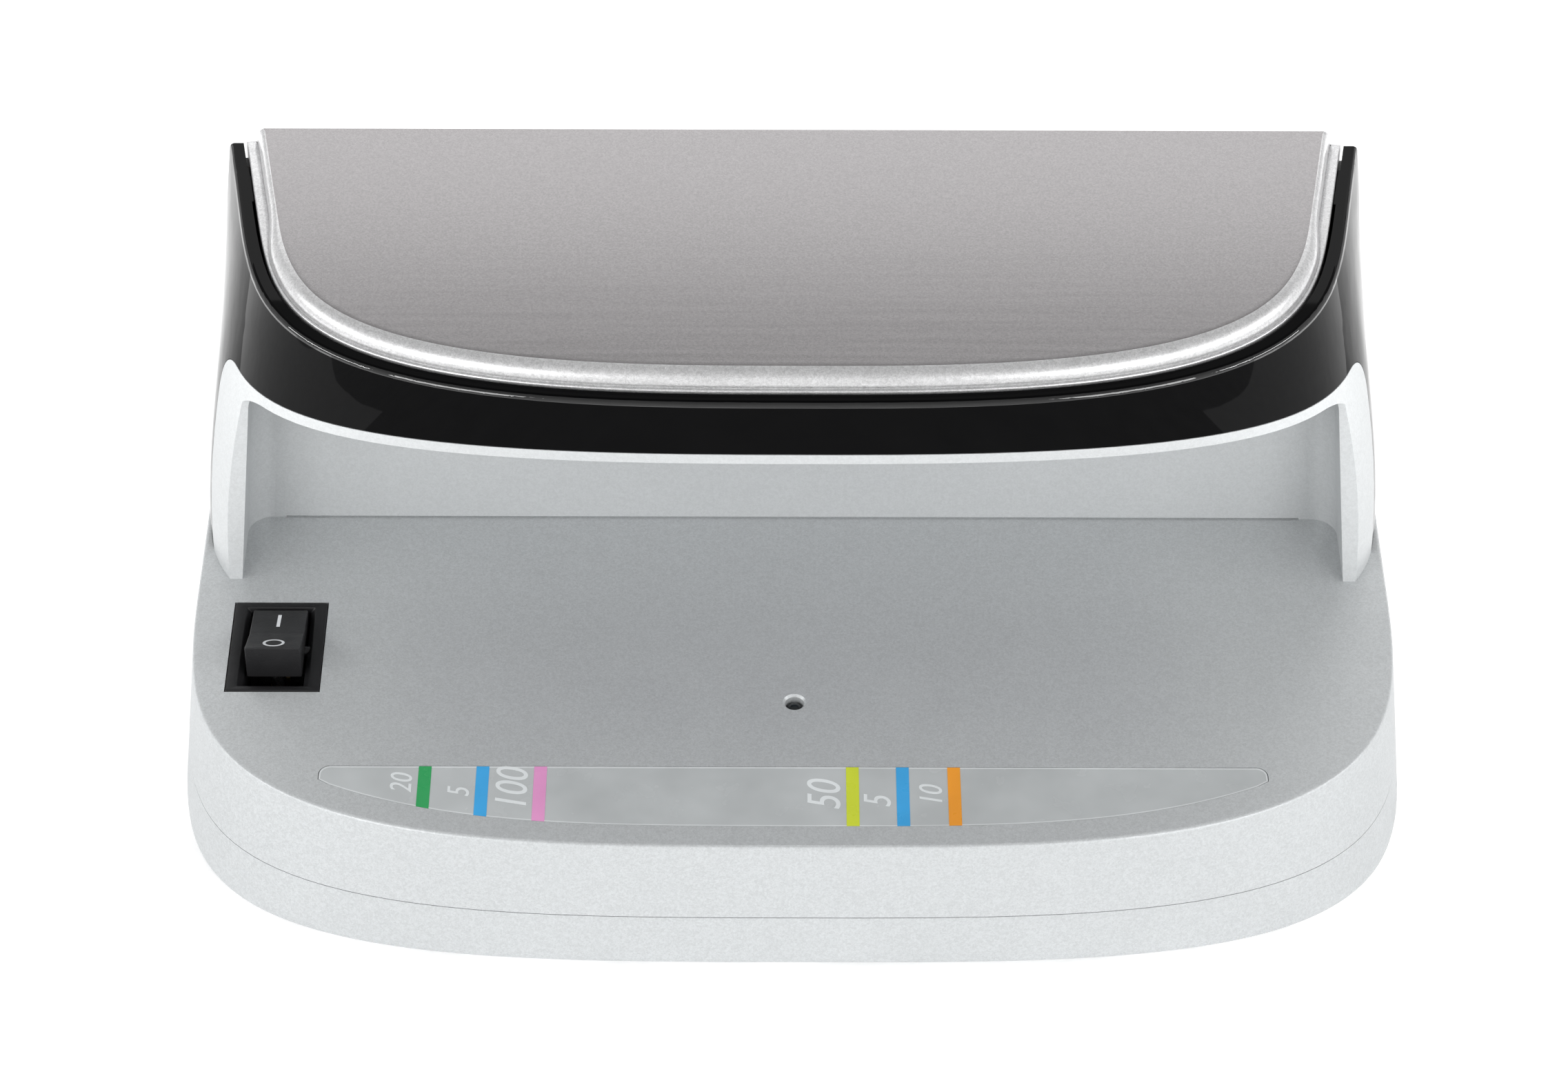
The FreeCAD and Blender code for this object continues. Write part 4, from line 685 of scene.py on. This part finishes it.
def make_label_print():
    """Six coloured bars across the label, each with its number at its left."""
    foot = 1.9
    # the bar's X, the number, its height and the Y of its middle, and the bar's paint
    bars = (
        (-57.4, "20", 3.4, -41.3, "print_green"),
        (-48.4, "5", 3.4, -43.2, "print_blue"),
        (-39.4, "100", 5.0, -42.0, "print_pink"),
        (9.2, "50", 5.2, -43.6, "print_lime"),
        (17.0, "5", 4.2, -45.0, "print_blue"),
        (25.0, "10", 3.6, -43.4, "print_orange"),
    )
    for index, (centre, number, tall, middle, paint) in enumerate(bars):
        make_bar(f"label_bar_{index}", centre, paint)
        make_number(f"label_number_{index}", number, tall, centre - foot, middle)


make_lid()
make_bezel()
make_rocker()
make_film_edge_highlight()
make_label_print()


# ---------------------------------------------------------------- studio
def area_light(name, size, power, place, target=(0, 0, 0.03)):
    light = bpy.data.lights.new(name, "AREA")
    light.shape = "RECTANGLE"
    light.size, light.size_y = size
    light.energy = power
    lamp = bpy.data.objects.new(name, light)
    bpy.context.scene.collection.objects.link(lamp)
    lamp.location = place
    lamp.rotation_euler = (Vector(target) - Vector(place)).to_track_quat("-Z", "Y").to_euler()


def make_sky():
    """A white room, bright near the floor and dimmer overhead."""
    at_floor, overhead = 0.90, 0.40
    world = bpy.data.worlds.new("studio")
    world.use_nodes = True
    nodes, links = world.node_tree.nodes, world.node_tree.links
    split = nodes.new("ShaderNodeSeparateXYZ")
    links.new(nodes.new("ShaderNodeTexCoord").outputs["Generated"], split.inputs[0])
    fade = nodes.new("ShaderNodeMapRange")
    for key, number in (("From Min", 0.0), ("From Max", 1.0), ("To Min", at_floor), ("To Max", overhead)):
        fade.inputs[key].default_value = number
    links.new(split.outputs["Z"], fade.inputs["Value"])
    links.new(fade.outputs["Result"], nodes["Background"].inputs["Strength"])
    nodes["Background"].inputs["Color"].default_value = (1.0, 1.0, 1.0, 1.0)
    bpy.context.scene.world = world


def make_floor():
    """A wide sheet of pale paper that glows a little."""
    reach = 6
    mesh = bpy.data.meshes.new("floor")
    corners = [(-reach, -reach, 0), (reach, -reach, 0), (reach, reach, 0), (-reach, reach, 0)]
    mesh.from_pydata(corners, [], [(0, 1, 2, 3)])
    floor = bpy.data.objects.new("floor", mesh)
    bpy.context.scene.collection.objects.link(floor)
    floor.data.materials.append(plastic("floor_paper", (0.9, 0.9, 0.9), 0.9, Emission_Strength=0.32,
                                        Emission_Color=(1.0, 1.0, 1.0, 1.0)))


def make_studio():
    """The room, the floor, a light behind the lid, and a box, a strip and a card at each side."""
    bpy.context.scene.view_settings.view_transform = "Standard"
    make_sky()
    make_floor()
    area_light("rear", size=(0.5, 0.1), power=0.22, place=(0.0, 0.257, 0.205), target=(0.0, 0.03, 0.079))
    for side in (-1, 1):
        area_light("front_box", size=(0.6, 0.5), power=5.6, place=(side * 0.72, -1.08, 0.62))
        area_light("side_strip", size=(0.6, 0.05), power=1.8, place=(side * 0.75, -0.2, 0.38))
        area_light("floor_card", size=(0.25, 0.6), power=0.7, place=(side * 0.32, 0.15, 0.01),
                   target=(side * 0.32, 0.15, 0.2))


def make_camera():
    """A long lens in front of the detector, looking down on it."""
    place = (-0.0035, -0.5744, 0.5458)
    pitch, turn, roll = math.radians(41.39), math.radians(-0.20), math.radians(0.28)
    look = Vector((-math.sin(turn) * math.cos(pitch), math.cos(turn) * math.cos(pitch), -math.sin(pitch)))
    level = Vector((math.cos(turn), math.sin(turn), 0.0))
    upright = level.cross(look)
    right = level * math.cos(roll) + upright * math.sin(roll)
    up = upright * math.cos(roll) - level * math.sin(roll)
    camera = bpy.data.objects.new("camera", bpy.data.cameras.new("camera"))
    camera.data.lens = 109.82
    camera.data.sensor_width = 36.0
    camera.data.clip_start = 0.05
    rows = [(right[i], up[i], -look[i], place[i]) for i in range(3)]
    camera.matrix_world = Matrix((*rows, (0, 0, 0, 1)))
    bpy.context.scene.collection.objects.link(camera)
    bpy.context.scene.camera = camera


make_studio()
make_camera()
